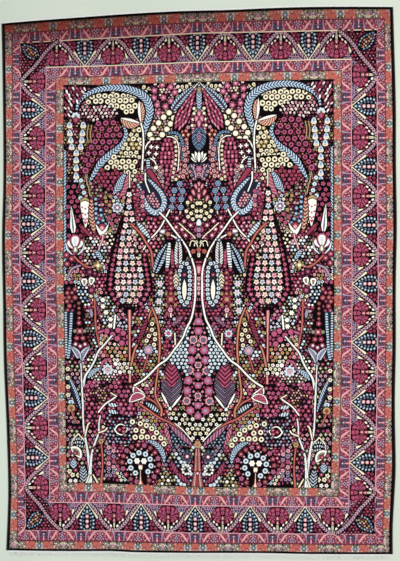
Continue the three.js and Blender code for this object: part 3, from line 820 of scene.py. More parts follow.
def white_trees(field):
    bed(field, [(118, 277), (HALF_FIELD, 277), (HALF_FIELD, 345), (117, 345)],
        [blossom(PINK, PLUM), MAUVE, RUBY, DARK_FLORET, MOSSY, blossom(ROSE, PLUM)], 4.6, 1.8, seed=20)
    bed(field, [(96, 278), (112, 272), (112, 300), (96, 300)], [WHITE_DOT, OLIVE_DOT, PALE_DOT], 3.6, 1.1,
        seed=55)
    bed(field, [(83, 290), (106, 290), (106, 302), (80, 302)], [WHITE_DOT, PINK_DOT, OLIVE_DOT], 3.2, 1.0,
        seed=21)
    bed(field, [(58, 280), (84, 278), (84, 292), (58, 292)], [CREAM_FLORET, WHITE_DOT, IVORY_PINK], 4.6,
        1.9, seed=22)
    bed(field, [(60, 301), (113, 301), (114, 342), (62, 342)], [blossom(CRIMSON, ROSE), ROSY, RUBY,
        PLUM_FLORET, blossom(ROSE, PINK, eye_size=0.25)], 5.0, 2.15, turn=-90, lean=40, seed=23)
    bed(field, [(99, 302), (109, 312), (100, 325), (88, 312)], [PINK_DOT, dot(GOLD), PLUM_DOT], 2.9, 0.9,
        seed=24)
    # peony beside its rose-coloured arc
    stamp(field, blossom(PALE, OLIVE, 8, notch=0.14, eye_size=0.5, rim=1.0), 91, 288.2, 6.0)
    stamp(field, blossom(PINK, SKY, rim=0), 91, 289, 3.2)
    stem(field, [(97.4, 285), (95, 279.6), (89, 277.2)], 0.9, ROSE)
    band(field, [(110.6, 296.4), (105, 290), (98.6, 287)], [0.8, 2.4, 2.2, 0.8],
        chevrons([SKY, PALE, GROUND], 2.6), 0.9)
    # blue leaf, cream balls and pomegranate by the left edge
    band(field, [(132.4, 293), (126, 308), (118.8, 328.6)], [0.7, 2.2, 2.9, 2.9, 2.2, 0.7],
         one_side(NAVY, slashes([PALE, SKY, NAVY], 2.6)), 0.9)
    spread(field, blossom(CREAM, OLIVE, 6, rim=0.9), 2.4, (131, 287.6), (131.2, 296.6), (131, 305.8),
        (131.2, 314))
    stamp(field, bud(PALE, SKY, 0.9, rim=0.8), 128.2, 322, 2.8, 90)
    stamp(field, blossom(GOLD, CRIMSON, 0, eye_size=0.5, rim=1.0), 128.2, 327.4, 3.8)
    stem(field, [(127.8, 331), (124.2, 339.6), (116.4, 351.2)], 0.75, ORANGE)
    # three ruby florets in a pointed window edged with white
    bed(field, [(62, 334), (94, 334), (94, 364), (62, 364)], [blossom(LILAC, PINK, 4), PLUM_FLORET,
        SLATE_FLORET], 3.9, 1.5, seed=56)
    leaf(field, (85.2, 349), (70.6, 347.8), 6.0, IVORY, 1.4)
    leaf(field, (83.6, 349), (71.6, 347.8), 4.9, GROUND, 0)
    spread(field, RUBY, 2.2, (79.4, 348.6), (75, 346.8), (75.4, 350.6))
    # pale berries on two twigs
    for y, drop in ((323.6, 0.8), (330, 1.8)):
        band(field, [(90.2, y), (81.6, y + drop)], [1.0, 2.0, 1.8, 0.8],
            slashes([PALE, PALE, GROUND], 2.9, 0.6), 0.8)
    # crimson petals edged with white
    for tip, way in (((65.4, 303.6), 0.16), ((69.8, 320.8), -0.16)):
        leaf(field, (52.4, 314.4), tip, 4.2, IVORY, 0.8, bend=way)
        leaf(field, (54.4, 314.2), (tip[0] - 1.4, (tip[1] + 314.4) / 2 + (tip[1] - 314.4) * 0.34), 2.9,
             slashes([CRIMSON, ROSE], 3.6), 0.3, bend=way)
    # trunks and branches
    band(field, [(86.4, 253.6), (92.8, 261.4), (100.2, 270), (104, 279), (108.4, 287), (113.6, 295),
        (115.8, 305)], [0.7, 0.8, 0.8, 0.9, 1.1], BARK, 0.8)
    stem(field, [(100.6, 331.4), (94, 323.4), (87.2, 318.6), (82.2, 315)], 0.7, IVORY, 0.8)
    stem(field, [(88, 311.8), (82.2, 315)], 0.6, CREAM)


# %% Bottom corner: white tree with a dome
def corner_tree(field):
    bed(field, [(112, 343), (HALF_FIELD, 343), (HALF_FIELD, FIELD_LENGTH), (86, FIELD_LENGTH), (88, 366)],
        [RUBY, PINK_FLORET, MAUVE, PLUMMY, ROSY, MOSSY], 4.6, 1.9, seed=27)
    bed(field, [(118, 388), (HALF_FIELD, 386), (HALF_FIELD, FIELD_LENGTH), (116, FIELD_LENGTH)],
        [CREAM_FLORET, blossom(IVORY, PINK), RUBY, blossom(OLIVE, CREAM)], 5.6, 2.4, seed=28)
    # dark dome with a ladder of pale marks, over a white-edged paisley
    band(field, [(121.4, 369.4), (121.4, 354.6)], [4.6, 6.9, 7.1, 5.6, 1.6], CREAM)
    band(field, [(121.4, 369.6), (121.4, 355.6)], [4.4, 6.2, 6.3, 4.8, 1.0], GROUND, 0.0)
    for y, half in ((359.4, 3.6), (363, 4.6), (366.6, 4.4)):
        band(field, [(121.4 - half, y), (121.4, y - 1), (121.4 + half, y)], [0.8, 1.1, 0.8],
            slashes([PALE, GROUND], 2.4, 0), 0)
    leaf(field, (129.4, 366.6), (118.6, 378.4), 4.2, IVORY, 0.9, bend=0.1)
    leaf(field, (127.8, 368.4), (120, 376.4), 2.5, OLIVE, 0, bend=0.1)
    stamp(field, RUBY, 124.6, 373, 2.3)
    band(field, [(126.6, 379), (126.6, 389)], [0.6, 3.2, 3.0, 0.6], chevrons([PALE, SKY, NAVY], 2.7), 0.8)
    band(field, [(117, 388), (116, 401)], [2.4, 3.8, 4.0, 2.6], chevrons([PALE, NAVY, NAVY], 3.2), 0.9)
    # the two trunks and their side branches
    band(field, [(117.9, 282), (117.2, 304), (116.6, 319.4), (116.2, 339.8), (115.2, 352), (112.6, 368),
        (110.4, 385), (109.8, 403)], [0.5, 0.65, 0.85, 0.75, 0.8, 1.0, 1.5, 2.1], BARK, 0.8)
    band(field, [(109.9, 394), (108, 375.2), (104.6, 363), (100.8, 352.6), (100.3, 343.4), (99, 335.4)],
         [1.6, 1.1, 0.9, 0.8, 0.7, 0.6], BARK, 0.8)
    stem(field, [(100.6, 352.4), (94.4, 350), (92.2, 347.4)], 0.75, CREAM, 0.8)
    stem(field, [(114.4, 355.6), (111.8, 345), (109.8, 342.4)], 0.75, CREAM, 0.8)
    stem(field, [(102, 403), (106.6, 395)], 0.9, CREAM, end=0.6)
    stem(field, [(113.4, 403), (110.6, 395)], 0.9, CREAM, end=0.6)
    column(field, [PLUM_FLORET], 104.6, 368, 392, 5.4, 2.1, turn=0.0)
    band(field, [(98.2, 364), (97, 376), (97, 388), (98.4, 403)], [0.8, 0.7, 0.8, 1.2], ORANGE, 0.9)
    stamp(field, blossom(GOLD, RUST, 6, rim=1.0), 98.4, 361, 3.0)
    column(field, [PINKY, MAUVE, ROSY], 90.6, 367, 392, 5.4, 2.4)
    column(field, [ROSY, PINKY, MAUVE], 85.6, 365, 395, 5.4, 2.2)
    # arch of cream rings over the wreath
    spread(field, CREAM_RING, 2.6, (66.3, 340.4), (58.3, 342), (52.2, 343.6), (46.8, 346.6), (41.8, 350.6),
        (37.4, 355.8), (34.2, 361.6), (62.8, 348.8), (56, 349.6), (63.6, 355.8), (57.2, 355.4),
        (51.2, 355.4), (44.8, 355.8))


# %% The round wreath palmette
def wreath(field):
    cx, cy = 58.2, 382.2
    stamp(field, dot(GROUND, 0), cx, cy, 21.6)
    band(field, [(50.4, 358.8), (43, 362), (37.4, 367.6), (34.4, 375), (34.2, 380.4)],
        [0.6, 2.2, 2.7, 2.6, 2.0, 0.6], chevrons([SKY, PALE, GROUND], 2.7), 1.0)
    far_kinds = [RUBY, blossom(CRIMSON, OLIVE, rim=0.9), blossom(ROSE, SLATE, rim=0.9)]
    for far, count, radius, kinds in ((18.8, 18, 2.75, far_kinds), (10.9, 10, 2.6,
            [blossom(PALE, SLATE, 0, eye_size=0.42, rim=1.0)]), (14.8, 15, 0.9, [PINK_DOT])):
        for k in range(count):
            aim = np.radians(k * 360 / count + 98)
            x, y = cx + far * np.cos(aim), cy + far * np.sin(aim)
            if y < FIELD_LENGTH - 0.5 and not (abs(x - cx) < 3.0 and y > cy):
                stamp(field, kinds[k % len(kinds)], x, y, radius, np.degrees(aim))
    for side in (-1, 1):
        stamp(field, blossom(IVORY, CREAM, 6, notch=0.12, rim=1.0), cx + side * 3.5, cy - 2.6, 3.2)
        stem(field, [(cx + side * 2.2, cy + 1), (cx, cy + 5)], 0.5, ROSE, 0.4)
    stamp(field, bud(CREAM, IVORY, 0.6, rim=0.9), cx, cy + 4.6, 3.2, 90)
    band(field, [(cx, cy + 7), (cx, cy + 15), (cx, 404)], [0.5, 0.5, 0.9, 3.6], cored(ORANGE, CREAM), 0.8)


# %% [markdown]
# Along the middle line hang a crown of feathers, a pear-shaped bloom, white branches that cross
# and part, and a tall narrow cypress of rose and crimson florets.

# %% Crown of feathers at the top
HEART = bud(CRIMSON, ROSE, 0.7, rim=0.7)
ROSE_HEART = bud(ROSE, PINK, 0.7, rim=0.7)
CREAM_BALL = blossom(CREAM, IVORY, 0, eye_size=0.5, rim=1.0)
BLUE_ROUND = blossom(SLATE, LILAC, 6, notch=0.08, eye_size=0.34, rim=1.1, tip=SKY)
WHITE_STAR = blossom(IVORY, IVORY, 4, notch=0.3, rim=0.9)


def crown(field):
    bed(field, [(0, 0), (62, 0), (54, 9), (49, 20), (30, 24), (0, 2)],
        [CREAM_BUD, IVORY_BUD, bud(PINK, CREAM), bud(CREAM, IVORY)], 4.8, 2.2, turn=60, lean=40, seed=31)
    bed(field, [(26, 0), (49, 2), (50, 20), (41, 36), (30, 28), (21, 10)],
        [PINK_DOT, blossom(CREAM, GOLD, 0), PLUM_DOT], 3.4, 1.1, seed=32)
    spread(field, blossom(ROSE, PINK, notch=0.14, rim=0.9), 3.25, (36.4, 1.4), (44.3, 6.8), (28.2, 3.9),
        (23.9, 9.3), (44.6, 14.3), (35.3, 14.3), (27.8, 17.9), (41.4, 21.4), (33.2, 23.2), (40.3, 29.6))
    bed(field, [(22, 24), (34, 28), (46, 36), (54, 46), (52, 58), (42, 58), (28, 52), (20, 34)],
        [RUST_DISC, PINK_DOT, MOSSY], 3.2, 1.1, seed=33)
    spread(field, CREAM_BALL, 2.7, (23.2, 27.1), (29.6, 29.6), (25, 35), (35, 33.9), (28.2, 40.7),
        (40, 39.6), (31.8, 46.1), (45, 45), (36.4, 51.4), (48.6, 51), (46.4, 56.4), (40.4, 56.8))
    bed(field, [(8, 40), (20, 48), (22, 70), (20, 99), (8, 98)], [blossom(ORANGE, PINK),
        blossom(ORANGE, CREAM), blossom(PINK, RUST)], 4.8, 2.1, seed=34)
    bed(field, [(33, 56), (62, 58), (60, 84), (36, 84)], [PLUM_FLORET, WINE_FLORET], 3.6, 1.3, seed=35)
    # crimson stroke and blue feather falling outwards
    stroke = [(0.8, 2.6), (5.8, 11), (10.6, 21), (16, 33), (22, 47)]
    band(field, stroke, [0.8, 2.4, 4.4, 6.6, 6.8, 4.0], GROUND, 1.0)
    rows_along(field, stroke, [0.8, 2.4, 4.4, 6.6, 6.6, 3.0], [bud(CRIMSON, ROSE, 0.42, rim=0.5),
        bud(ROSE, PINK, 0.36, rim=0.5)], 3.7, 2.9)
    feather = [(0.8, 0.6), (8.6, 7.0), (15.6, 13.6), (21.4, 20), (25, 25)]
    band(field, feather, [0.5, 1.5, 2.7, 3.5, 4.0, 3.2], GROUND, 0.9)
    band(field, feather, [0.5, 1.4, 2.6, 3.4, 3.9, 3.0], cored(chevrons([SKY, PALE, NAVY], 2.7, 0.5),
        slashes([PLUM, NAVY], 3.0), 0.28), 0.0)
    stem(field, [(0.6, 0.4), (5.6, 5.6)], 0.5, CREAM)
    # middle tuft
    band(field, [(0, 2), (0, 28)], [0.6, 2.2, 2.6, 2.4, 1.2], chevrons([SKY, PALE, NAVY], 2.8), 1.0)
    stamp(field, bud(OLIVE, GOLD), 0, 8, 3.0, 90)
    for x, y in ((5.0, 26), (5.0, 31), (6.0, 36.8), (6.8, 42.9)):
        stamp(field, blossom(CREAM, IVORY, 0, rim=0.8), x, y, 1.5)
    for side, y in ((0, 32), (2.6, 37), (0, 41.4)):
        stamp(field, bud(ROSE, PINK, 0.5, rim=0.9), side, y, 4.0, 90)
    spread(field, blossom(PINK, CRIMSON, rim=0.9), 2.3, (0, 48), (5.0, 49.6), (1.6, 53.6))
    ground_bed(field, [(0, 51), (9.6, 52), (10.6, 60), (8.8, 68), (10.4, 80), (10.4, 97), (6, 101),
        (0, 101)], GROUND)
    band(field, [(0, 68), (0, 52)], [0.8, 3.8, 5.8, 6.8, 7.0, 6.6], chevrons([SLATE, NAVY, SKY, NAVY], 4.2),
        0.0)
    band(field, [(0, 60), (0, 53)], [0.6, 2.6, 3.0], slashes([PLUM, LILAC], 2.6))
    for tip in ((8.2, 75), (7.4, 70.6), (3.8, 68.6), (0, 68.8)):
        leaf(field, (0, 79.6), tip, 1.7, IVORY, 0.9)
    # mauve bloom between two leaves, on navy
    bed(field, [(0, 81), (10, 80), (10.4, 90), (7, 97), (0, 101)], [blossom(LILAC, ROSE, 4),
        blossom(SLATE, SKY, 4), PINK_FLORET, blossom(LILAC, SLATE, 4)], 3.6, 1.6, NAVY, seed=59)
    leaf(field, (9.2, 81), (3.2, 98), 1.6, slashes([LILAC, SLATE, PINK], 3.0), 0.8, bend=0.16)
    stamp(field, blossom(ROSE, LILAC, 6, notch=0.14, eye_size=0.45, rim=0.9), 0, 86.4, 3.8)
    for y, yarn in ((92.6, PINK), (97.0, ROSE)):
        stamp(field, bud(yarn, PLUM, 0.7, rim=0.8), 0, y, 2.5, 90)
    # slim crimson cypress with its ivory arch
    spine = [(31.4, 55), (31.4, 76), (32.4, 92), (34.4, 108), (32.4, 125)]
    widths = [2.0, 5.6, 7.0, 7.0, 6.2, 4.6, 3.2, 2.2, 1.6, 0.7]
    band(field, spine, widths, GROUND, 1.0)
    rows_along(field, spine, [w + 1.0 for w in widths], [HEART, HEART, ROSE_HEART], 4.3, 2.2, inset=0.4)
    band(field, [(29.9, 50), (22.9, 50), (17.9, 55), (15.8, 64), (16.2, 77)], [1.3, 1.5, 1.3],
        chevrons([SLATE, SKY, NAVY], 2.8), 0.8)
    stem(field, [(31.4, 53.6), (26.6, 54), (21.8, 58), (19.9, 66), (19.9, 76), (20.8, 88)], 0.55, IVORY,
        0.8)
    beads(field, [(24.4, 57), (22.9, 64), (22.9, 76), (25.4, 90), (26.6, 100)], blossom(CREAM, ROSE, 0),
        4.4, 1.35)
    beads(field, [(15.2, 64), (13.4, 78), (15.8, 94)], blossom(PINK, RUST, eye_size=0.4, rim=0.9), 5.4, 2.3)
    # white stars and their branch
    stem(field, [(57.1, 40), (54.7, 60), (54.9, 74), (56.2, 88)], 0.75, IVORY, 0.9)
    stem(field, [(54.6, 68), (51.4, 61), (48.7, 58)], 0.6, IVORY)
    spread(field, WHITE_STAR, 2.3, (47.1, 63.4), (49.6, 69.4), (42.4, 70.6), (45.4, 75.2), (41.6, 64.2))
    stem(field, [(54.6, 77), (49, 75), (44.4, 77.6), (42, 82)], 0.6, IVORY)
    spread(field, CREAM_BALL, 2.7, (42, 85), (38.9, 91.4))
    spread(field, WHITE_DOT, 1.7, (36.7, 98.4))
    band(field, [(50.4, 76.6), (49.8, 86)], [1.7, 1.7], slashes([PALE, NAVY], 2.5, 0), 0.9)
    bed(field, [(36, 84), (54, 84), (50, 96), (38, 110), (34, 100)], [MAUVE, RUBY, PINK_FLORET], 4.2, 1.7,
        None, seed=36)
    stem(field, [(49.3, 88), (44.7, 94.4), (39.3, 103.5), (34.7, 113.5), (31.2, 130)], 2.3, CRIMSON, 1.1,
        end=0.7)


# %% Pear-shaped bloom in the middle
def pear(field):
    bed(field, [(8, 98), (30, 98), (34, 126), (26, 136), (8, 138)], [blossom(ROSE, CRIMSON), PLUM_FLORET],
        4.0, 1.5, seed=37)
    places = ((18.9, 101), (24.3, 107.5), (16.2, 108.2), (26, 116.4), (17.4, 116.4), (27, 124.3),
        (18.1, 124.6))
    for x, y in places:
        stem(field, [(x, y + 2), (x + 0.6, y + 6.6)], 0.5, CREAM, 0.4)
        stamp(field, BLUE_ROUND, x, y, 3.0)
    spine = [(0, 97), (0, 142)]
    widths = [0.8, 4.5, 8.0, 11, 13, 13.6, 12.6, 9.6, 5.0, 1.0]
    band(field, spine, widths, GROUND, 1.2)
    rows_along(field, spine, widths, [OLIVE_DOT, blossom(PLUM, ROSE, 0), dot(GOLD)], 3.0, 0.9, inset=1.0)
    for side in (0, 1):
        for y, x, size in ((102, 3.0, 3.4), (108, 5.4, 3.8), (114, 8.0, 3.8)):
            stamp(field, bud(CRIMSON, PINK, 0.5, rim=0.9), x * side, y + 2 * side, size,
                110 if side else 90)
    spread(field, blossom(CREAM, GOLD, 0, rim=1.0), 1.8, (11.1, 119.8), (6.1, 123.6), (2.2, 128.4),
        (12.3, 128.4), (7.6, 130.6), (1.8, 133.6), (10.6, 134.0), (1.6, 120.6), (6.0, 136.4))
    # leaning paisley: scaled rim, a branch and dotted pod inside
    rim_line = [(60.2, 101), (57, 110), (53.4, 119.4), (47.8, 127.4), (42, 129.6), (36.2, 125.4),
        (34.2, 118), (37.6, 109.6), (43.4, 102.6), (49.4, 96.4)]
    ground_bed(field, rim_line, NAVY)
    bed(field, [(50, 110), (52.6, 113), (49.6, 121), (44, 126.4), (39.6, 123.6), (39.4, 117), (44, 110)],
        [blossom(PINK, PINK, 0, rim=0.6, edge=PLUM)], 3.1, 0.95, None, seed=39)
    stem(field, [(53, 90), (52.8, 98), (50.4, 105), (48.8, 109)], 0.75, IVORY, 0.8, end=0.6)
    band(field, rim_line, [0.9, 1.9, 2.3, 2.5, 2.6, 2.5, 2.3, 1.9, 1.6, 0.9],
        chevrons([PALE, PALE, SKY, NAVY], 2.9, 0.8), 1.5, NAVY)


# %% White branches and the fountain
def branches(field):
    bed(field, [(34, 136), (62, 128), (62, 174), (30, 176), (24, 166)],
        [ROSE_PALE, blossom(PINK, CRIMSON), RUBY, ROSE_PALE, MOSSY], 4.6, 1.9, lean=180, seed=40)
    bed(field, [(12, 136), (32, 128), (36, 150), (24, 168), (0, 170), (0, 142)],
        [blossom(PLUM, CRIMSON, 4), RED_FLORET], 3.6, 1.4, seed=49)
    spread(field, blossom(ROSE, CREAM, rim=0.9), 2.6, (21.8, 135.4), (14.6, 138.4), (8.2, 142.5),
        (22.5, 144.3), (13.2, 152.6), (6.1, 156.6), (2.6, 147), (16.6, 146.6), (18.4, 161.4))
    spread(field, blossom(CRIMSON, ROSE, rim=0.9), 2.3, (63.2, 115), (61.8, 122), (60.3, 128),
        (54.6, 131.4), (60.3, 134.6), (49.9, 135.4), (43.4, 136.6), (37.8, 135))
    stem(field, [(19.6, 140.4), (11.1, 148.3), (6.8, 151.8), (2.5, 157)], 0.55, CREAM)
    stamp(field, bud(PALE, IVORY, 0.7, rim=1.0), 0, 139.6, 3.4, -90)
    spread(field, blossom(LILAC, ROSE, 6, rim=0.9), 2.6, (0, 152.6), (0, 147))
    bed(field, [(0, 158), (8, 158), (12, 174), (0, 176)], [dot(GROUND)], 3.0, 1.6, seed=41)
    for reach in (3, 7.4):
        stem(field, [(0.6, 174), (1.2, 164), (reach * 0.5, 159), (reach, 158.4), (reach + 1.6, 163)], 0.5,
            CREAM, 0.5)
    spread(field, ORANGEY, 2.5, (0, 167), (5.5, 168.6))
    # white branch that crosses and the long one to the middle
    stem(field, [(28.9, 126.8), (36.8, 142.5), (42.5, 150.4), (49, 157), (54.6, 166.4)], 0.7, IVORY, 0.8)
    stem(field, [(38.9, 129.6), (32.5, 136.1), (25.3, 146.1), (18.2, 155.4), (11.1, 166.1), (6.6, 178)],
        0.8, IVORY, 0.9)
    stem(field, [(28.9, 151.4), (21.8, 155.4)], 0.7, IVORY)
    stamp(field, blossom(ORANGE, GOLD, rim=1.0), 30.6, 151.2, 2.7)
    stamp(field, bud(LILAC, IVORY, 0.8, rim=1.0), 36.0, 148.6, 3.0)
    leaf(field, (61.6, 138.4), (47.4, 156.4), 2.4, slashes([PALE, PALE, GROUND], 2.7, 0), 1.1)
    stem(field, [(66.8, 141), (61.7, 146), (56.8, 151.4), (51.8, 160.4), (47.5, 167.4), (46, 176.8),
        (45.4, 188)], 0.95, ORANGE, 0.9)
    # blue and white feathers under the branch
    ground_bed(field, [(32, 156), (16, 158), (12, 172), (14, 190), (46, 190), (44, 176)], GROUND)
    band(field, [(31.6, 163), (37, 174), (42.4, 187)], [2.0, 3.8, 4.0, 3.0],
        cored(chevrons([PALE, SKY, GROUND], 2.6, 0.4), GROUND, 0.28), 0.9)
    band(field, [(29, 160), (30, 172), (31.4, 186)], [1.0, 2.0, 2.0, 1.4],
        slashes([PALE, IVORY, GROUND], 2.6, 0), 0.9)
    band(field, [(20.3, 158), (20.3, 186)], [1.8, 3.4, 3.8, 3.4, 1.6],
        cored(chevrons([IVORY, PALE, GROUND], 2.7, 0.9), PLUM, 0.22), 0.9)
    band(field, [(26.2, 167), (26.2, 183)], [0.5, 1.3, 1.4, 1.0], chevrons([CRIMSON, ROSE], 4.0), 0.8)
    spread(field, blossom(SLATE, PALE, rim=0.9), 2.2, (20, 157.4), (10.3, 178.9), (13.2, 184))
    # the loop round the candle
    bed(field, [(0, 176), (36, 186), (36, 232), (0, 232)], [RUBY, PLUMMY, CRIMSON_BUD, ROSY], 4.2, 1.9,
        seed=42)
    band(field, [(14.2, 180), (14.2, 224)], [2.5, 5.6, 7.2, 7.8, 7.0, 3.0], NAVY, 0.5)
    for side in ([(17.6, 184), (19.6, 194), (19.6, 208), (18, 217)],
            [(9.6, 185), (8.9, 194), (8.9, 208), (10, 217)]):
        beads(field, [(13, 179), *side, (13.6, 222)], PALE_RING, 4.4, 1.9)
    leaf(field, (14.2, 218), (14.2, 196), 2.2, cored(IVORY, CREAM, 0.3), 0.9)
    stamp(field, RUBY, 14.2, 192, 2.2)
    beads(field, [(5.2, 186), (5.2, 222)], blossom(ROSE, PINK, 0, rim=0.6), 3.2, 1.05)
    stamp(field, bud(CRIMSON, PINK, 0.6, rim=0.9), 0, 187, 5.4, 90)
    column(field, [PINKY, ROSE_PALE], 0, 196, 214, 4.8, 2.5)
    leaf(field, (22.8, 206), (22.4, 188), 2.9, chevrons([IVORY, GOLD, GROUND], 3.4, 1.2), 0.8)
    column(field, [blossom(CRIMSON, GOLD), RUBY], 27.6, 190, 214, 5.2, 2.6)
    stamp(field, blossom(CRIMSON, GOLD, 4, notch=0.26, rim=1.0), 27.8, 216.6, 5.4, 45)
    spread(field, RUST_DISC, 1.5, (32.6, 211), (23, 211), (32.6, 222), (23, 222))
    stamp(field, blossom(PINK, ROSE, 6, rim=1.0), 28, 227.2, 2.8)
    stem(field, [(27.8, 231), (27, 240)], 0.8, CREAM)
    bed(field, [(33, 190), (44, 190), (46, 234), (34, 234)], [PALE_DOT, blossom(GOLD, OLIVE, 0),
        blossom(LILAC, PLUM, 0)], 3.4, 1.0, seed=43)
    spread(field, blossom(PALE, PINK, 6, notch=0.2, eye_size=0.44, rim=1.1), 3.6, (38.6, 201), (38, 210),
        (39.4, 218.8), (40, 227.8))
    bed(field, [(34, 236), (64, 236), (66, 300), (34, 300)], [blossom(OLIVE, GOLD, 4), WINE_FLORET,
        PALE_DOT, RUST_DISC, blossom(ROSE, PLUM, 4)], 3.8, 1.4, seed=57)
    bed(field, [(12, 236), (34, 234), (36, 262), (24, 262), (14, 246)],
        [blossom(CRIMSON, OLIVE, 4), LILAC_FLORET, PLUM_FLORET, blossom(ROSE, CRIMSON, 0)],
        3.6, 1.4, seed=58)
    bed(field, [(9, 238), (14, 252), (24, 266), (30, 279), (20, 286), (11, 292)],
        [SKY_DISC, dot(PALE, 0.9)], 4.1, 1.5, NAVY, seed=45)
    band(field, [(46.2, 226), (48.4, 231), (52.4, 243), (57.8, 256), (63.8, 268), (67.4, 283)],
        [0.7, 1.1, 0.9, 0.9, 1.1], ORANGE_STEM, 0.9)
    leaf(field, (50.6, 234), (61, 263), 2.0, slashes([CRIMSON, PLUM], 3.6), 0.9)
    band(field, [(46.4, 225), (42, 236), (39.6, 248), (38.6, 263), (39.3, 276), (40.8, 290), (43, 308),
        (41.8, 317), (37, 326.4), (37, 333)], [0.8, 1.0, 1.0, 1.0, 0.9, 0.9, 0.9, 1.2], ORANGE_STEM, 0.9)
    spread(field, CREAM_RING, 2.0, (46.3, 241.4), (46.5, 247.4), (43.2, 251.6), (49.6, 253.6),
        (43.4, 256.8), (51.8, 258.4), (44.4, 262.4))
    stamp(field, blossom(LILAC, PINK, 8, notch=0.1, eye_size=0.4, rim=1.0), 50, 267.6, 5.0)
    stem(field, [(50.4, 273), (53, 281), (55, 288)], 0.6, ORANGE)
    leaf(field, (27, 243), (14.8, 233), 2.2, slashes([PLUM, LILAC, PLUM, ROSE], 3.6), 0.8)
    stamp(field, blossom(LILAC, PALE, rim=0.9), 24.2, 236.4, 2.0)
    stamp(field, blossom(PALE, ROSE, 8, notch=0.14, eye_size=0.5, rim=1.0), 30, 250.6, 4.2)
    spread(field, blossom(CRIMSON, ROSE, rim=0.9), 2.3, (31.4, 259), (29.6, 263), (33.2, 263.6))
    stem(field, [(23.6, 250.6), (23, 262)], 0.7, CREAM, 0.8)
    stem(field, [(6.8, 176), (3.7, 188), (3.4, 202), (3.8, 218), (7, 235), (12, 245.5), (16, 255.5),
        (24.4, 267.5), (31.4, 276.6), (39.6, 282.6), (45.8, 289), (54, 297), (64, 303.6)], 0.85, IVORY, 0.9)


# %% Lower cypress on the middle line
def lower_cypress(field):
    spine = [(0, 222), (0, 338)]
    widths = [1.5, 4.6, 7.4, 9.6, 11.2, 12.4, 14.0, 15.4, 16.6, 14, 7, 1.5]
    band(field, spine, widths, GROUND, 1.2)
    rows_along(field, spine, widths, [blossom(PINK, ROSE, 4), RED_FLORET], 4.2, 1.3, inset=0.6)
    flower = blossom(ROSE, LILAC, 7, notch=0.1, eye_size=0.42, rim=0.8)
    ruby_flower = blossom(CRIMSON, SLATE, 7, notch=0.1, eye_size=0.42, rim=0.8, tip=PINK)
    spread(field, flower, 4.3, (0, 229), (0, 238.4), (0, 248))
    rows = ((5.0, 257), (6.0, 267.0), (7.2, 277.2), (8.4, 287.4), (9.6, 297.6), (11.0, 307.8), (11.4, 318),
        (7.7, 327.6))
    for k, (x, y) in enumerate(rows):
        stamp(field, flower if k % 3 else ruby_flower, x, y, 4.4)
    for k, y in enumerate((282, 292.2, 302.4, 312.6, 322.4, 333)):
        stamp(field, flower if k % 3 else ruby_flower, 0, y, 3.8)
    spread(field, blossom(PINK, CRIMSON, 0), 1.6, (0, 262), (0, 272))
    # the great feathered leaf with its two sepals
    bed(field, [(16, 288), (38, 284), (38, 326), (16, 326)], [PINK_DOT, OLIVE_DOT, WHITE_DOT,
        blossom(CRIMSON, PLUM, 0)], 3.6, 1.1, seed=46)
    band(field, [(26.8, 276), (26.6, 323.6)], [0.8, 4.0, 6.8, 9.0, 10.4, 10.2, 8.2, 4.6, 1.2],
         chevrons([PLUM, SLATE, PLUM, GROUND, LILAC, GROUND], 5.0), 1.4)
    band(field, [(26.8, 277), (26.7, 300)], [0.8, 3.4, 6.0, 7.4, 4.4],
        chevrons([ROSE, CRIMSON, GROUND], 4.4))
    leaf(field, (37.4, 309), (28.8, 326), 1.1, IVORY, 0.9)
    leaf(field, (16.2, 312), (27.2, 326), 1.1, IVORY, 0.9)
    stamp(field, bud(PALE, IVORY, 0.8), 28.2, 326, 2.0, -90)
    bed(field, [(0, 340), (14, 327), (32, 328), (26, 342), (4, 358), (0, 356)],
        [CREAM_FLORET, blossom(IVORY, OLIVE), MOSSY], 5.4, 2.0, seed=47)
    spread(field, blossom(ORANGE, PINK), 2.0, (33, 323), (22.6, 326.6), (31, 329))
    # orange stems that run to the foot of the middle line
    band(field, [(53.6, 320), (46, 325), (38, 330.6)], [0.6, 2.7, 3.3, 2.9, 0.8], NAVY, 0.8)
    band(field, [(52.4, 321), (46, 325), (39.4, 329.8)], [0.6, 1.7, 2.1, 1.9, 0.6],
        slashes([PALE, GROUND], 2.6, 0.3), 0.0)
    stem(field, [(52.2, 315.6), (43, 320.6), (36.4, 329.6)], 0.8, ORANGE, 0.8)
    stem(field, [(58.6, 322.6), (48, 329.6), (39.4, 335.4), (28, 340.4), (17.8, 348), (8.6, 358),
        (2.4, 364.6)], 0.9, ORANGE, 0.8)
    stem(field, [(23, 341), (14.4, 348), (5.4, 358)], 0.5, IVORY, 0.4)
    leaf(field, (34.6, 341.6), (25.2, 365.8), 2.4, slashes([ROSE, CRIMSON, PINK, PLUM], 4.0), 0.9)
    bed(field, [(30, 346), (24, 346), (10, 360), (14, 372), (24, 372)],
        [blossom(SLATE, LILAC, 0), SLATE_FLORET], 3.7, 1.5, seed=59)
    leaf(field, (29.6, 341.6), (3.8, 364), 2.6, slashes([ROSE, LILAC, PLUM], 4.0), 0.9)


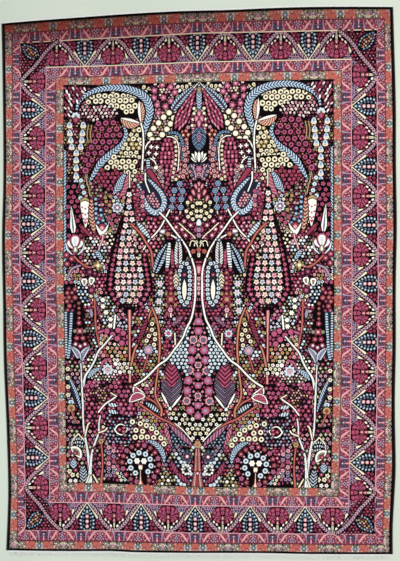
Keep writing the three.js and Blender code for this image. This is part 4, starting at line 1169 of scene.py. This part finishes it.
# %% Foot of the middle line
def middle_foot(field):
    bed(field, [(0, 364), (24, 364), (33, 376), (36, FIELD_LENGTH), (0, FIELD_LENGTH)],
        [LILAC_FLORET, RUBY, PALE_DOT, MOSSY, SLATE_FLORET, PLUM_FLORET], 4.3, 1.7, seed=48)
    bed(field, [(25, 392), (38, 388), (42, FIELD_LENGTH), (24, FIELD_LENGTH)],
        [blossom(GOLD, OLIVE, 4), MOSSY, WHITE_DOT], 4.0, 1.5, seed=60)
    stamp(field, blossom(SLATE, NAVY, 8, notch=0.14, eye_size=0.7, rim=1.0), 10.6, 373.6, 5.6)
    stamp(field, blossom(CRIMSON, IVORY, 6, notch=0.2, eye_size=0.4, rim=0), 10.6, 373.6, 3.2)
    for k in range(9):
        aim = np.radians(k * 40)
        stamp(field, WHITE_DOT, 11.4 + 4.0 * np.cos(aim), 386.6 + 4.6 * np.sin(aim), 1.2)
    leaf(field, (27, 379), (19.6, 393.6), 2.2, slashes([CRIMSON, ROSE, PLUM], 3.6), 0.8)
    leaf(field, (22, 390), (8, 400), 2.6, slashes([CRIMSON, ROSE, GROUND], 3.6), 0.8)
    band(field, [(0, 366), (0, 404)], [2.6, 2.8, 3.4, 4.6, 6.6],
         cored(RUST, cored(PINK, cored(PLUM, cored(PINK, RUST), 0.6), 0.7), 0.76), 0.9)
    stamp(field, blossom(ROSE, IVORY, 3, notch=0.3), 0, 390, 2.4, 90)
    stamp(field, blossom(GOLD, ORANGE, 6, notch=0.14, eye_size=0.4), 0, 361.4, 4.0)


def draw_field():
    field = blank(HALF_FIELD, FIELD_LENGTH)
    strew_ground(field)
    crown(field)
    pear(field)
    big_paisley(field)
    left_edge(field)
    second_column(field)
    beside_cypress(field)
    main_cypress(field)
    white_trees(field)
    lower_cypress(field)
    branches(field)
    corner_tree(field)
    middle_foot(field)
    wreath(field)
    return field


# %% The whole chart
def draw_chart():
    whole = blank(2 * (HALF_FIELD + SIDE_BORDER), FIELD_LENGTH + 2 * END_BORDER)
    lay_borders(whole)
    field = draw_field()
    field = np.concatenate([field[:, ::-1], field], axis=1)
    top = round(END_BORDER * KNOTS_PER_SQUARE)
    left = (whole.shape[1] - field.shape[1]) // 2
    whole[top:top + field.shape[0], left:left + field.shape[1]] = field
    return whole


chart = draw_chart()
KNOTS_PER_FACE = 5
FACES_ACROSS = chart.shape[1] // KNOTS_PER_FACE
FACES_DOWN = chart.shape[0] // KNOTS_PER_FACE
spare = (chart.shape[1] - FACES_ACROSS * KNOTS_PER_FACE) // 2
chart = chart[:FACES_DOWN * KNOTS_PER_FACE, spare:spare + FACES_ACROSS * KNOTS_PER_FACE]
print("chart of", chart.shape[1], "by", chart.shape[0], "knots on", FACES_ACROSS * FACES_DOWN, "faces")

# %% [markdown]
# ## The uneven outline
# A carpet of this age is never square: its sides wander and its borders swell and shrink, as the
# loom's tension changed over the months. The outline comes from the CAD model. The two lines that
# set the border's width, the outer white line and the field's edge, were measured on the
# photograph, in its pixels of 6.17 mm. Between such lines the knots spread evenly.

# %% Outline of the knotted cloth
SHOULDER_LEVEL = 0.003
cad_cloth = frame["nodes"]["knotted_carpet"]
ring = np.array([v.co[:] for v in cad_cloth.data.vertices])
ring = np.unique(np.round(ring[np.abs(ring[:, 2] - SHOULDER_LEVEL) < 1e-4][:, :2], 6), axis=0)
ring = ring[np.argsort(np.arctan2(ring[:, 1], ring[:, 0]))]


def edge_between(start, stop, axis):
    """The outline's points from one corner to the next, sorted along an axis."""
    span = (stop - start) % len(ring)
    run = ring[(start + np.arange(span + 1)) % len(ring)]
    return run[np.argsort(run[:, axis])]


corners = [int(np.argmax(ring @ np.array(way))) for way in ((-1, -1), (1, -1), (1, 1), (-1, 1))]
bottom_edge = edge_between(corners[0], corners[1], 0)
right_edge = edge_between(corners[1], corners[2], 1)
top_edge = edge_between(corners[2], corners[3], 0)
left_edge = edge_between(corners[3], corners[0], 1)
print("outline of", len(ring), "points; top edge rises", round(float(np.ptp(top_edge[:, 1])), 3), "m")

# %% Lines measured on the photograph
PIXEL = 0.00617
PHOTO_MIDDLE = (198.6, 282.2)
WHITE_LINE_TOP = ((19.8, 42.0), (100, 37.6), (200, 32.2), (376.7, 28.7))
WHITE_LINE_BOTTOM = ((24.9, 530.3), (100, 530.7), (200, 533.0), (374.7, 534.2))
WHITE_LINE_LEFT = ((19.8, 42.0), (18.7, 250), (23.2, 435), (24.9, 530.3))
WHITE_LINE_RIGHT = ((376.7, 28.7), (378.2, 300), (376.6, 410), (374.7, 534.2))
FIELD_TOP = ((63.4, 84.8), (100, 84.6), (200, 81.6), (332.7, 79.0))
FIELD_BOTTOM = ((66.3, 482.5), (100, 482.6), (200, 486.4), (330.0, 487.6))
FIELD_LEFT = ((63.4, 84.8), (63.1, 250), (65.8, 435), (66.3, 482.5))
FIELD_RIGHT = ((332.7, 79.0), (333.4, 300), (332.0, 410), (330.0, 487.6))
FIELD_MIDDLE = ((198.8, 84.0), (198.4, 280), (197.0, 485.0))


def in_metres(line):
    """Photograph points in metres, in the rug's frame."""
    points = np.array(line)
    return (points - PHOTO_MIDDLE) * (PIXEL, -PIXEL)


def x_of(line):
    points = line[np.argsort(line[:, 1])]
    return lambda y: np.interp(y, points[:, 1], points[:, 0])


def y_of(line):
    points = line[np.argsort(line[:, 0])]
    return lambda x: np.interp(x, points[:, 0], points[:, 1])


# %% From chart squares to metres
HALF_CHART = FACES_ACROSS * KNOTS_PER_FACE / KNOTS_PER_SQUARE / 2
CHART_LENGTH = FACES_DOWN * KNOTS_PER_FACE / KNOTS_PER_SQUARE
WHITE_LINE_X = HALF_FIELD + SIDE_BORDER - WHITE_LINE_DEPTH
WHITE_LINE_Y = WHITE_LINE_DEPTH * END_BORDER / SIDE_BORDER
FULL_LENGTH = FIELD_LENGTH + 2 * END_BORDER
across_stops = ((-HALF_CHART, x_of(left_edge)), (-WHITE_LINE_X, x_of(in_metres(WHITE_LINE_LEFT))),
    (-HALF_FIELD, x_of(in_metres(FIELD_LEFT))), (0.0, x_of(in_metres(FIELD_MIDDLE))),
    (HALF_FIELD, x_of(in_metres(FIELD_RIGHT))), (WHITE_LINE_X, x_of(in_metres(WHITE_LINE_RIGHT))),
    (HALF_CHART, x_of(right_edge)))
down_stops = ((0.0, y_of(top_edge)), (WHITE_LINE_Y, y_of(in_metres(WHITE_LINE_TOP))),
    (END_BORDER, y_of(in_metres(FIELD_TOP))), (FULL_LENGTH - END_BORDER, y_of(in_metres(FIELD_BOTTOM))),
    (FULL_LENGTH - WHITE_LINE_Y, y_of(in_metres(WHITE_LINE_BOTTOM))), (CHART_LENGTH, y_of(bottom_edge)))


def between(stops, at, other):
    """Blend the lines on either side of each place; places past the last lines go on outwards."""
    marks = np.array([mark for mark, line in stops])
    values = np.array([line(other) for mark, line in stops])
    slot = np.clip(np.searchsorted(marks, at, side="right") - 1, 0, len(marks) - 2)
    share = (at - marks[slot]) / (marks[slot + 1] - marks[slot])
    pick = np.arange(len(at))
    return values[slot, pick] * (1 - share) + values[slot + 1, pick] * share


def on_rug(across, down):
    """Metres on the floor for places on the chart."""
    x, y = across * SQUARE, (CHART_LENGTH / 2 - down) * SQUARE
    for _ in range(5):
        x, y = between(across_stops, across, y), between(down_stops, down, x)
    return x, y


# %% [markdown]
# ## The knotted cloth
# One thin slab of pile, 9 mm thick. A grid has one square for every five by five knots. Its rim
# is extruded and pulled down into the rounded shoulder that clipped pile shows along an edge,
# and one flat face closes the back. A modifier could thicken the grid, but the shoulder
# needs its own rows.

# %% Mesh of the pile
THICKNESS = 0.009
SHOULDER = ((0.16, 0.0086), (0.30, 0.0076), (0.38, 0.0062), (0.38, 0.0030), (0.38, 0.0006), (0.28, 0.0))
RIM = 0.38
RIM_ROW = 0.1
HALF_GRID_X = HALF_CHART - RIM
HALF_GRID_Y = CHART_LENGTH / 2 - RIM


def pushed(place, limit, reach):
    """Move a place on the rim outwards; a place along it stays."""
    return np.copysign(limit + reach, place) if abs(place) > limit - RIM_ROW else place


def knotted_mesh():
    bm = bmesh.new()
    bmesh.ops.create_grid(bm, x_segments=FACES_ACROSS, y_segments=FACES_DOWN, size=1)
    bmesh.ops.scale(bm, vec=Vector((HALF_GRID_X, HALF_GRID_Y, 1)), verts=bm.verts)
    for v in bm.verts:
        v.co.z = THICKNESS
    rim = [e for e in bm.edges if e.is_boundary]
    for reach, height in SHOULDER:
        made = bmesh.ops.extrude_edge_only(bm, edges=rim)["geom"]
        rim = [e for e in made if isinstance(e, bmesh.types.BMEdge) and e.is_boundary]
        for v in {v for e in rim for v in e.verts}:
            v.co.x = pushed(v.co.x, HALF_GRID_X, reach)
            v.co.y = pushed(v.co.y, HALF_GRID_Y, reach)
            v.co.z = height
    bmesh.ops.holes_fill(bm, edges=rim, sides=0)
    bmesh.ops.recalc_face_normals(bm, faces=bm.faces)
    mesh = bpy.data.meshes.new("wool_pile")
    bm.to_mesh(mesh)
    bm.free()
    return mesh


pile_mesh = knotted_mesh()
flat = np.empty(len(pile_mesh.vertices) * 3)
pile_mesh.vertices.foreach_get("co", flat)
flat = flat.reshape(-1, 3)
print("pile mesh:", len(pile_mesh.vertices), "vertices,", len(pile_mesh.polygons), "faces")

# %% [markdown]
# Each top face carries its 25 knots in five numbers, one for each row of knots, written in base
# sixteen with one digit for each knot. The map called Knots counts knots across and down, so the
# material knows which digit to read. A second map is kept for anyone who bakes the rug.

# %% Knots and maps on the faces
BAKE_SHARE = 0.976
BAKE_MARGIN = 0.012
SHOULDER_MARGIN = 0.009
BACK_PATCH = (0.002, 0.0005)


def base_sixteen(rows):
    """Five columns of yarn numbers become one number; every value stays exact in a float."""
    return sum(rows[..., k].astype(np.float64) * 16.0 ** k for k in range(KNOTS_PER_FACE))


def lay_knots(mesh, flat):
    count = len(mesh.polygons)
    centres = np.empty(count * 3)
    mesh.polygons.foreach_get("center", centres)
    centres = centres.reshape(-1, 3)
    normals = np.empty(count * 3)
    mesh.polygons.foreach_get("normal", normals)
    top = (normals.reshape(-1, 3)[:, 2] > 0.9) & (centres[:, 2] > THICKNESS - 1e-6)
    column = ((centres[:, 0] / HALF_GRID_X + 1) / 2 * FACES_ACROSS).astype(int).clip(0, FACES_ACROSS - 1)
    row = ((1 - centres[:, 1] / HALF_GRID_Y) / 2 * FACES_DOWN).astype(int).clip(0, FACES_DOWN - 1)
    blocks = chart.reshape(FACES_DOWN, KNOTS_PER_FACE, FACES_ACROSS, KNOTS_PER_FACE)
    for k in range(KNOTS_PER_FACE):
        coded = base_sixteen(blocks[:, k])
        values = np.where(top, coded[row, column], 0.0).astype(np.float32)
        mesh.attributes.new(f"chart_row_{k}", "FLOAT", "FACE").data.foreach_set("value", values)
    corner = np.empty(len(mesh.loops), int)
    mesh.loops.foreach_get("vertex_index", corner)
    u = flat[corner, 0] / HALF_GRID_X / 2 + 0.5
    v = flat[corner, 1] / HALF_GRID_Y / 2 + 0.5
    knots = np.stack([u * chart.shape[1], (1 - v) * chart.shape[0]], axis=1)
    bake = np.stack([u, v], axis=1) * BAKE_SHARE + BAKE_MARGIN
    # the shoulder's rows go into the margin round the top, and the back into a small corner of it
    spill = np.clip((THICKNESS - flat[corner, 2]) / THICKNESS, 0, 1) * SHOULDER_MARGIN
    on_rim = np.abs(np.stack([u, v], axis=1) - 0.5) > 0.4999
    bake += np.where(on_rim, np.sign(bake - 0.5) * spill[:, None], 0)
    sizes = np.empty(count, int)
    mesh.polygons.foreach_get("loop_total", sizes)
    back = np.repeat(sizes > 4, sizes)
    bake[back] = np.stack([u, v], axis=1)[back] * BACK_PATCH[0] + BACK_PATCH[1]
    for name, values in (("OFBake", bake), ("Knots", knots)):
        layer = mesh.uv_layers.new(name=name)
        layer.data.foreach_set("uv", values.astype(np.float32).ravel())
    return int(top.sum())


print("faces that carry knots:", lay_knots(pile_mesh, flat))

# %% Lay the cloth out
x, y = on_rug(flat[:, 0], CHART_LENGTH / 2 - flat[:, 1])
placed = np.stack([x, y, flat[:, 2]], axis=1)
pile_mesh.vertices.foreach_set("co", placed.ravel())
pile_mesh.update()
pile_mesh.polygons.foreach_set("use_smooth", [True] * len(pile_mesh.polygons))


def add_piece(name, mesh):
    piece = bpy.data.objects.new(name, mesh)
    bpy.context.scene.collection.objects.link(piece)
    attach(piece, "root")
    return piece


knotted_pile = add_piece("knotted_pile", pile_mesh)
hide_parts("knotted_carpet")
print("pile spans", [round(float(a), 4) for a in placed.min(axis=0)],
    [round(float(a), 4) for a in placed.max(axis=0)])

# %% [markdown]
# ## Materials
# Colours are given as they look on a screen and turned linear by one function. Another adds any
# node with its settings and links.

# %% Colour and node helpers
def linear(colour, alpha=1.0):
    """An sRGB hex colour as linear numbers."""
    parts = [int(colour[i:i + 2], 16) / 255 for i in (1, 3, 5)]
    return tuple(p / 12.92 if p <= 0.04045 else ((p + 0.055) / 1.055) ** 2.4 for p in parts) + (alpha,)


def add_node(tree, kind, *inputs, sockets=None, **settings):
    """Add a shader node. Inputs are given in order, by number in sockets, or by name; a node or
    socket is wired and anything else is set. The other settings are the node's properties."""
    node = tree.nodes.new("ShaderNode" + kind)
    given = {**dict(enumerate(inputs)), **(sockets or {})}
    for name, value in settings.items():
        if name in node.inputs:
            given[name] = value
        else:
            setattr(node, name, value)
    for key, value in given.items():
        if isinstance(value, bpy.types.Node):
            value = value.outputs[0]
        if isinstance(value, bpy.types.NodeSocket):
            tree.links.new(value, node.inputs[key])
        else:
            node.inputs[key].default_value = value
    return node


def new_material(name):
    material = bpy.data.materials.new(name)
    material.use_nodes = True
    tree = material.node_tree
    return material, tree, tree.nodes["Principled BSDF"]


# %% [markdown]
# Kerman wool is soft, hand-spun and clipped short. It scatters light almost evenly, with a faint
# sheen when seen at a low angle, so it is rough with a trace of sheen. The yarns vary a little from
# knot to knot, and whole rows vary where a new batch of dyed wool began; weavers call that
# abrash. A knot is 1.9 mm wide.

# %% Finding the yarn of a knot
def place_on_face(tree, count):
    """Which of a face's five knots a count of knots falls on, 0 to 4."""
    share = add_node(tree, "Math", add_node(tree, "Math", count, KNOTS_PER_FACE, operation="DIVIDE"),
        operation="FRACT")
    return add_node(tree, "Math", add_node(tree, "Math", share, KNOTS_PER_FACE, operation="MULTIPLY"),
        operation="FLOOR")


def yarn_colour(tree, knots):
    """Read a face's five numbers, take the digit of this knot, and look its wool up."""
    place = add_node(tree, "SeparateXYZ", knots)
    digit_place = place_on_face(tree, place.outputs[0])
    row_place = place_on_face(tree, place.outputs[1])
    code = 0.5
    for k in range(KNOTS_PER_FACE):
        row = add_node(tree, "Attribute", attribute_name=f"chart_row_{k}").outputs["Fac"]
        chosen = add_node(tree, "Math", row_place, float(k), 0.5, operation="COMPARE")
        code = add_node(tree, "Math", row, chosen, code, operation="MULTIPLY_ADD")
    power = add_node(tree, "Math", 16.0, digit_place, operation="POWER")
    shifted = add_node(tree, "Math", add_node(tree, "Math", code, power, operation="DIVIDE"),
        operation="FLOOR")
    digit = add_node(tree, "Math", shifted, 16.0, operation="FLOORED_MODULO")
    middle = add_node(tree, "Math", digit, 0.5, operation="ADD")
    ramp = add_node(tree, "ValToRGB", add_node(tree, "Math", middle, 16.0, operation="DIVIDE"))
    stops = ramp.color_ramp
    stops.interpolation = "CONSTANT"
    while len(stops.elements) < len(YARNS):
        stops.elements.new(0.5)
    for k, colour in enumerate(YARNS.values()):
        stops.elements[k].position = k / len(YARNS)
        stops.elements[k].color = linear(colour)
    return ramp


# %% Shades of the dyed wool, and painted shade at the upper end
KNOT_SHADE = 0.16
BATCH_SHADE = 0.22
WEAR_SHADE = 0.12
# painted shade at the upper end: how it rises towards the top, how it leans to the left, and its darker,
# redder tint
UPPER_SHADE_RISE = (3.1, -4.03)
UPPER_SHADE_LEAN = (-0.33, 0.7)
UPPER_SHADE_TINT = (0.27, 0.13, 0.12, 1.0)


def shaded(tree, colour, knots, where):
    """Each knot a little lighter or darker, in bands of slightly different dye batches."""
    whole = add_node(tree, "VectorMath", knots, operation="FLOOR")
    knot = add_node(tree, "TexWhiteNoise", noise_dimensions="2D", Vector=whole).outputs["Value"]
    stretched = add_node(tree, "Mapping", where, Scale=(0.35, 9.0, 1.0))
    batch = add_node(tree, "TexNoise", stretched, Scale=1.6, Detail=3.0).outputs["Fac"]
    wear = add_node(tree, "TexNoise", where, Scale=2.2, Detail=4.0).outputs["Fac"]
    value = add_node(tree, "Math", knot, KNOT_SHADE, 1 - KNOT_SHADE, operation="MULTIPLY_ADD")
    for noise, shade in ((batch, BATCH_SHADE), (wear, WEAR_SHADE)):
        value = add_node(tree, "Math", value, add_node(tree, "Math", noise, shade, operation="MULTIPLY"),
            operation="ADD")
    return add_node(tree, "HueSaturation", Color=colour, Value=value)


def painted_upper_shade(tree, colour, where):
    """Painted shade: the upper end is darkened and reddened, most of it towards the left."""
    spot = add_node(tree, "SeparateXYZ", where)
    height = add_node(tree, "Math", spot.outputs["Y"], *UPPER_SHADE_RISE, operation="MULTIPLY_ADD")
    side = add_node(tree, "Math", spot.outputs["X"], *UPPER_SHADE_LEAN, operation="MULTIPLY_ADD")
    share = add_node(tree, "Math", add_node(tree, "Clamp", height), side, operation="MULTIPLY")
    return add_node(tree, "Mix", add_node(tree, "Clamp", share), data_type="RGBA", blend_type="MULTIPLY",
        sockets={6: colour, 7: UPPER_SHADE_TINT}).outputs[2]


# %% Wool pile
def wool_pile():
    material, tree, shader = new_material("clipped Kerman wool pile")
    knots = add_node(tree, "UVMap", uv_map="Knots").outputs[0]
    where = add_node(tree, "TexCoord").outputs["Object"]
    colour = shaded(tree, yarn_colour(tree, knots), knots, where)
    # the upper end gets painted shade, darker and redder towards the left
    tree.links.new(painted_upper_shade(tree, colour, where), shader.inputs["Base Color"])
    # a knot is a small rounded tuft
    tuft = add_node(tree, "SeparateXYZ", add_node(tree, "VectorMath", knots, operation="FRACTION"))
    humps = []
    for way in tuft.outputs[:2]:
        turn = add_node(tree, "Math", way, np.pi, operation="MULTIPLY")
        humps.append(add_node(tree, "Math", turn, operation="SINE"))
    fluff = add_node(tree, "TexNoise", where, Scale=260.0, Detail=2.0).outputs["Fac"]
    height = add_node(tree, "Math", fluff, 0.8, add_node(tree, "Math", *humps, operation="MULTIPLY"),
        operation="MULTIPLY_ADD")
    bump = add_node(tree, "Bump", Strength=0.35, Distance=0.0008, Height=height)
    tree.links.new(bump.outputs[0], shader.inputs["Normal"])
    shader.inputs["Roughness"].default_value = 0.92
    shader.inputs["Specular IOR Level"].default_value = 0.06
    shader.inputs["Sheen Weight"].default_value = 0.01
    shader.inputs["Sheen Roughness"].default_value = 0.6
    return material


knotted_pile.data.materials.append(wool_pile())
print("wool pile: knots", round(SQUARE / KNOTS_PER_SQUARE * 1000, 2), "mm wide")

# %% [markdown]
# ## Bound sides
# Along each long side two warps are wrapped with dark wool, so the edge is a ridged cord of about
# 8 mm. A grid is rolled into a flattened tube that follows the CAD edge, and each turn of yarn
# lifts it a little.

# %% A flattened tube along an edge
def run_along(name, path, half_width, half_height, rings, ridge=0.0, turns=1.0, sides=12, square=2.6):
    """Roll a grid round a path. path(t) gives x, y and the direction across for t from 0 to 1."""
    bm = bmesh.new()
    bmesh.ops.create_grid(bm, x_segments=sides, y_segments=rings, size=1)
    places = np.array([v.co[:] for v in bm.verts])
    angle = (places[:, 0] + 1) * np.pi
    t = (places[:, 1] + 1) / 2
    px, py, ax, ay = path(t)
    swell = 1 - ridge * (0.5 + 0.5 * np.cos(2 * np.pi * (t * turns + angle / (2 * np.pi))))
    round_off = (np.abs(np.cos(angle)) ** square + np.abs(np.sin(angle)) ** square) ** (-1 / square)
    side = np.cos(angle) * round_off * half_width * swell
    up = np.sin(angle) * round_off * half_height * swell
    for v, x0, y0, z0 in zip(bm.verts, px + ax * side, py + ay * side, half_height + up):
        v.co = (x0, y0, z0)
    bmesh.ops.remove_doubles(bm, verts=bm.verts, dist=1e-6)
    bmesh.ops.holes_fill(bm, edges=[e for e in bm.edges if e.is_boundary], sides=0)
    bmesh.ops.recalc_face_normals(bm, faces=bm.faces)
    for face in bm.faces:
        face.smooth = len(face.verts) == 4
    mesh = bpy.data.meshes.new(name)
    bm.to_mesh(mesh)
    bm.free()
    piece = add_piece(name, mesh)
    print(name, len(mesh.polygons), "faces")
    return piece


# %% The two selvedges
CORD_WIDTH = 0.008
CORD_HEIGHT = 0.007
GAP = 0.0003
WRAP = 0.0026


def side_path(edge, outward):
    low, high = edge[0, 1] + GAP, edge[-1, 1] - GAP
    def path(t):
        y = low + (high - low) * t
        x = x_of(edge)(y) + outward * (GAP + CORD_WIDTH / 2)
        return x, y, np.ones_like(t), np.zeros_like(t)
    return path


selvedges = []
for node, edge, outward in (("selvedge_left", left_edge, -1), ("selvedge_right", right_edge, 1)):
    cord = run_along("overcast_" + node.split("_")[1], side_path(edge, outward), CORD_WIDTH / 2,
        CORD_HEIGHT / 2, rings=2600, ridge=0.07, turns=float(np.ptp(edge[:, 1])) / WRAP)
    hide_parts(node)
    selvedges.append(cord)

# %% [markdown]
# ## White ends
# Beyond the last row of knots the weaver went on with plain cotton for a finger's width, which
# keeps the knots from slipping off. At the lower end the cut warps are left free as a short,
# matted fringe.

# %% The woven strips
STRIP_THICKNESS = 0.0026
TOP_STRIP = 0.013
BOTTOM_STRIP = 0.011
WANDER = 0.0006
WANDER_POINTS = 60


def end_path(edge, outward, width):
    left, right = edge[0, 0], edge[-1, 0]
    chance = np.random.default_rng(12)
    wave = chance.uniform(-1, 1, WANDER_POINTS)
    def path(t):
        x = left + (right - left) * t
        wander = np.interp(t, np.linspace(0, 1, WANDER_POINTS), wave) * WANDER
        y = y_of(edge)(x) + outward * (GAP + WANDER + width / 2) + wander
        return x, y, np.zeros_like(t), np.ones_like(t)
    return path


strip_top = run_along("woven_strip_top", end_path(top_edge, 1, TOP_STRIP), TOP_STRIP / 2,
    STRIP_THICKNESS / 2, rings=1400, ridge=0.05, turns=700, square=5)
strip_bottom = run_along("woven_strip_bottom", end_path(bottom_edge, -1, BOTTOM_STRIP), BOTTOM_STRIP / 2,
    STRIP_THICKNESS / 2, rings=1400, ridge=0.05, turns=700, square=5)
for strip, node in ((strip_top, "kilim_top"), (strip_bottom, "kilim_fringe_bottom")):
    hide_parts(node)

# %% The fringe
FRINGE_STRANDS = 1000
STRAND_RADIUS = 0.00085
FRINGE_LENGTH = 0.026
FRINGE_MARGIN = 0.006
ROOT_DEPTH = 0.001
STRAND_HOPS = 5


def fringe_piece():
    chance = np.random.default_rng(21)
    lines = bpy.data.curves.new("fringe_lines", "CURVE")
    lines.dimensions = "3D"
    lines.bevel_depth = STRAND_RADIUS
    lines.bevel_resolution = 1
    lines.use_fill_caps = True
    left, right = bottom_edge[0, 0] + FRINGE_MARGIN, bottom_edge[-1, 0] - FRINGE_MARGIN
    start = y_of(bottom_edge)
    for k in range(FRINGE_STRANDS):
        x = left + (right - left) * (k + chance.uniform(0.2, 0.8)) / FRINGE_STRANDS
        y = float(start(x)) - GAP - BOTTOM_STRIP + ROOT_DEPTH
        lean = 0.5 * np.sin(x * 9) + chance.normal(0, 0.35)
        curl = chance.normal(0, 0.5)
        length = FRINGE_LENGTH * chance.uniform(0.8, 1.12)
        spline = lines.splines.new("POLY")
        spline.points.add(STRAND_HOPS)
        level = STRAND_RADIUS * (1 + 1.3 * (k % 2))
        for n in range(STRAND_HOPS + 1):
            t = n / STRAND_HOPS
            dx = length * (lean * t + curl * t * (t - 0.6)) * 0.55
            drop = STRAND_RADIUS + (level - STRAND_RADIUS) * min(1, 2 * t) * (1 - t * 0.5)
            spline.points[n].co = (x + dx, y - length * t, drop, 1)
            spline.points[n].radius = 1.0 - 0.45 * t
    holder = bpy.data.objects.new("fringe_lines", lines)
    bpy.context.scene.collection.objects.link(holder)
    graph = bpy.context.evaluated_depsgraph_get()
    mesh = bpy.data.meshes.new_from_object(holder.evaluated_get(graph))
    mesh.name = "cotton_fringe"
    bpy.data.objects.remove(holder)
    mesh.polygons.foreach_set("use_smooth", [True] * len(mesh.polygons))
    return add_piece("cotton_fringe", mesh)


fringe = fringe_piece()
print("fringe:", FRINGE_STRANDS, "strands,", len(fringe.data.polygons), "faces")

# %% [markdown]
# The binding is coarse dark wool, the ends are unbleached cotton gone grey with handling.

# %% Binding wool and cotton
RIB = 0.0024


def bands_for(spacing):
    """The scale of a wave texture whose bands lie this many metres apart."""
    return 2 * np.pi / spacing / 20


def overcast_wool():
    material, tree, shader = new_material("overcast goat-brown wool")
    where = add_node(tree, "TexCoord").outputs["Object"]
    wraps = add_node(tree, "TexWave", where, bands_direction="Y", Scale=bands_for(WRAP), Distortion=0.6)
    fluff = add_node(tree, "TexNoise", where, Scale=240.0, Detail=3.0).outputs["Fac"]
    tone = add_node(tree, "Mix", fluff, data_type="RGBA", sockets={6: linear("#0c0a10"),
        7: linear("#2a2228")})
    tree.links.new(tone.outputs[2], shader.inputs["Base Color"])
    height = add_node(tree, "Math", wraps.outputs["Fac"], fluff, operation="ADD")
    bump = add_node(tree, "Bump", Strength=0.5, Distance=0.0006, Height=height)
    tree.links.new(bump.outputs[0], shader.inputs["Normal"])
    shader.inputs["Roughness"].default_value = 0.9
    shader.inputs["Sheen Weight"].default_value = 0.15
    return material


def warp_cotton():
    material, tree, shader = new_material("handled unbleached cotton")
    where = add_node(tree, "TexCoord").outputs["Object"]
    ribs = add_node(tree, "TexWave", where, bands_direction="X", Scale=bands_for(RIB), Distortion=1.0)
    soil = add_node(tree, "TexNoise", where, Scale=38.0, Detail=5.0, Roughness=0.65).outputs["Fac"]
    tone = add_node(tree, "Mix", soil, data_type="RGBA", sockets={6: linear("#d6d8d4"),
        7: linear("#fdfdfc")})
    tree.links.new(tone.outputs[2], shader.inputs["Base Color"])
    bump = add_node(tree, "Bump", Strength=0.5, Distance=0.0005, Height=ribs.outputs["Fac"])
    tree.links.new(bump.outputs[0], shader.inputs["Normal"])
    shader.inputs["Roughness"].default_value = 0.88
    return material


binding = overcast_wool()
for cord in selvedges:
    cord.data.materials.append(binding)
cotton = warp_cotton()
for piece in (strip_top, strip_bottom, fringe):
    piece.data.materials.append(cotton)

# %% [markdown]
# ## Floor, cloth facts, light and camera
# The rug was photographed from straight above in even light. A long lens far away keeps the
# shape true, and two large soft lamps leave only a thin shadow along the lower edges.

# %% Floor
FLOOR_HALF = 80.0


def floor_piece():
    bm = bmesh.new()
    bmesh.ops.create_grid(bm, x_segments=1, y_segments=1, size=FLOOR_HALF)
    mesh = bpy.data.meshes.new("floor")
    bm.to_mesh(mesh)
    bm.free()
    floor = bpy.data.objects.new("floor", mesh)
    bpy.context.scene.collection.objects.link(floor)
    material, tree, shader = new_material("pale polished stone floor")
    where = add_node(tree, "TexCoord").outputs["Object"]
    cloud = add_node(tree, "TexNoise", where, Scale=1.4, Detail=4.0).outputs["Fac"]
    tone = add_node(tree, "Mix", cloud, data_type="RGBA", sockets={6: linear("#c8d3c4"),
        7: linear("#e0e7d9")})
    tree.links.new(tone.outputs[2], shader.inputs["Base Color"])
    shader.inputs["Roughness"].default_value = 0.55
    mesh.materials.append(material)
    return floor


floor = floor_piece()


# %% Light
def lamp(name, place, size, power, colour):
    light = bpy.data.lights.new(name, "AREA")
    light.shape = "DISK"
    light.size = size
    light.energy = power
    light.color = linear(colour)[:3]
    holder = bpy.data.objects.new(name, light)
    holder.location = place
    holder.rotation_euler = (-Vector(place)).to_track_quat("-Z", "Y").to_euler()
    bpy.context.scene.collection.objects.link(holder)


lamp("soft key", (2.8, 0.7, 5.2), 3.2, 210, "#fffdf8")
lamp("soft fill", (-3.0, -1.2, 4.6), 4.0, 105, "#f4f8ff")
world = bpy.data.worlds.new("studio")
bpy.context.scene.world = world
world.use_nodes = True
world.node_tree.nodes["Background"].inputs["Color"].default_value = linear("#f3f6f4")
world.node_tree.nodes["Background"].inputs["Strength"].default_value = 0.4
bpy.context.scene.view_settings.view_transform = "Standard"

# %% Camera
IMAGE_CENTRE = (199.5, 280.0)
IMAGE_HEIGHT = 561 * PIXEL
LENS = 85.0
SENSOR_WIDTH = 36.0
aim_x, aim_y = in_metres([IMAGE_CENTRE])[0]
camera_data = bpy.data.cameras.new("from above")
camera_data.lens = LENS
camera_data.sensor_width = SENSOR_WIDTH
camera = bpy.data.objects.new("from above", camera_data)
camera.location = (float(aim_x), float(aim_y), THICKNESS + IMAGE_HEIGHT * LENS / SENSOR_WIDTH)
camera.rotation_euler = (0, 0, 0)
bpy.context.scene.collection.objects.link(camera)
bpy.context.scene.camera = camera
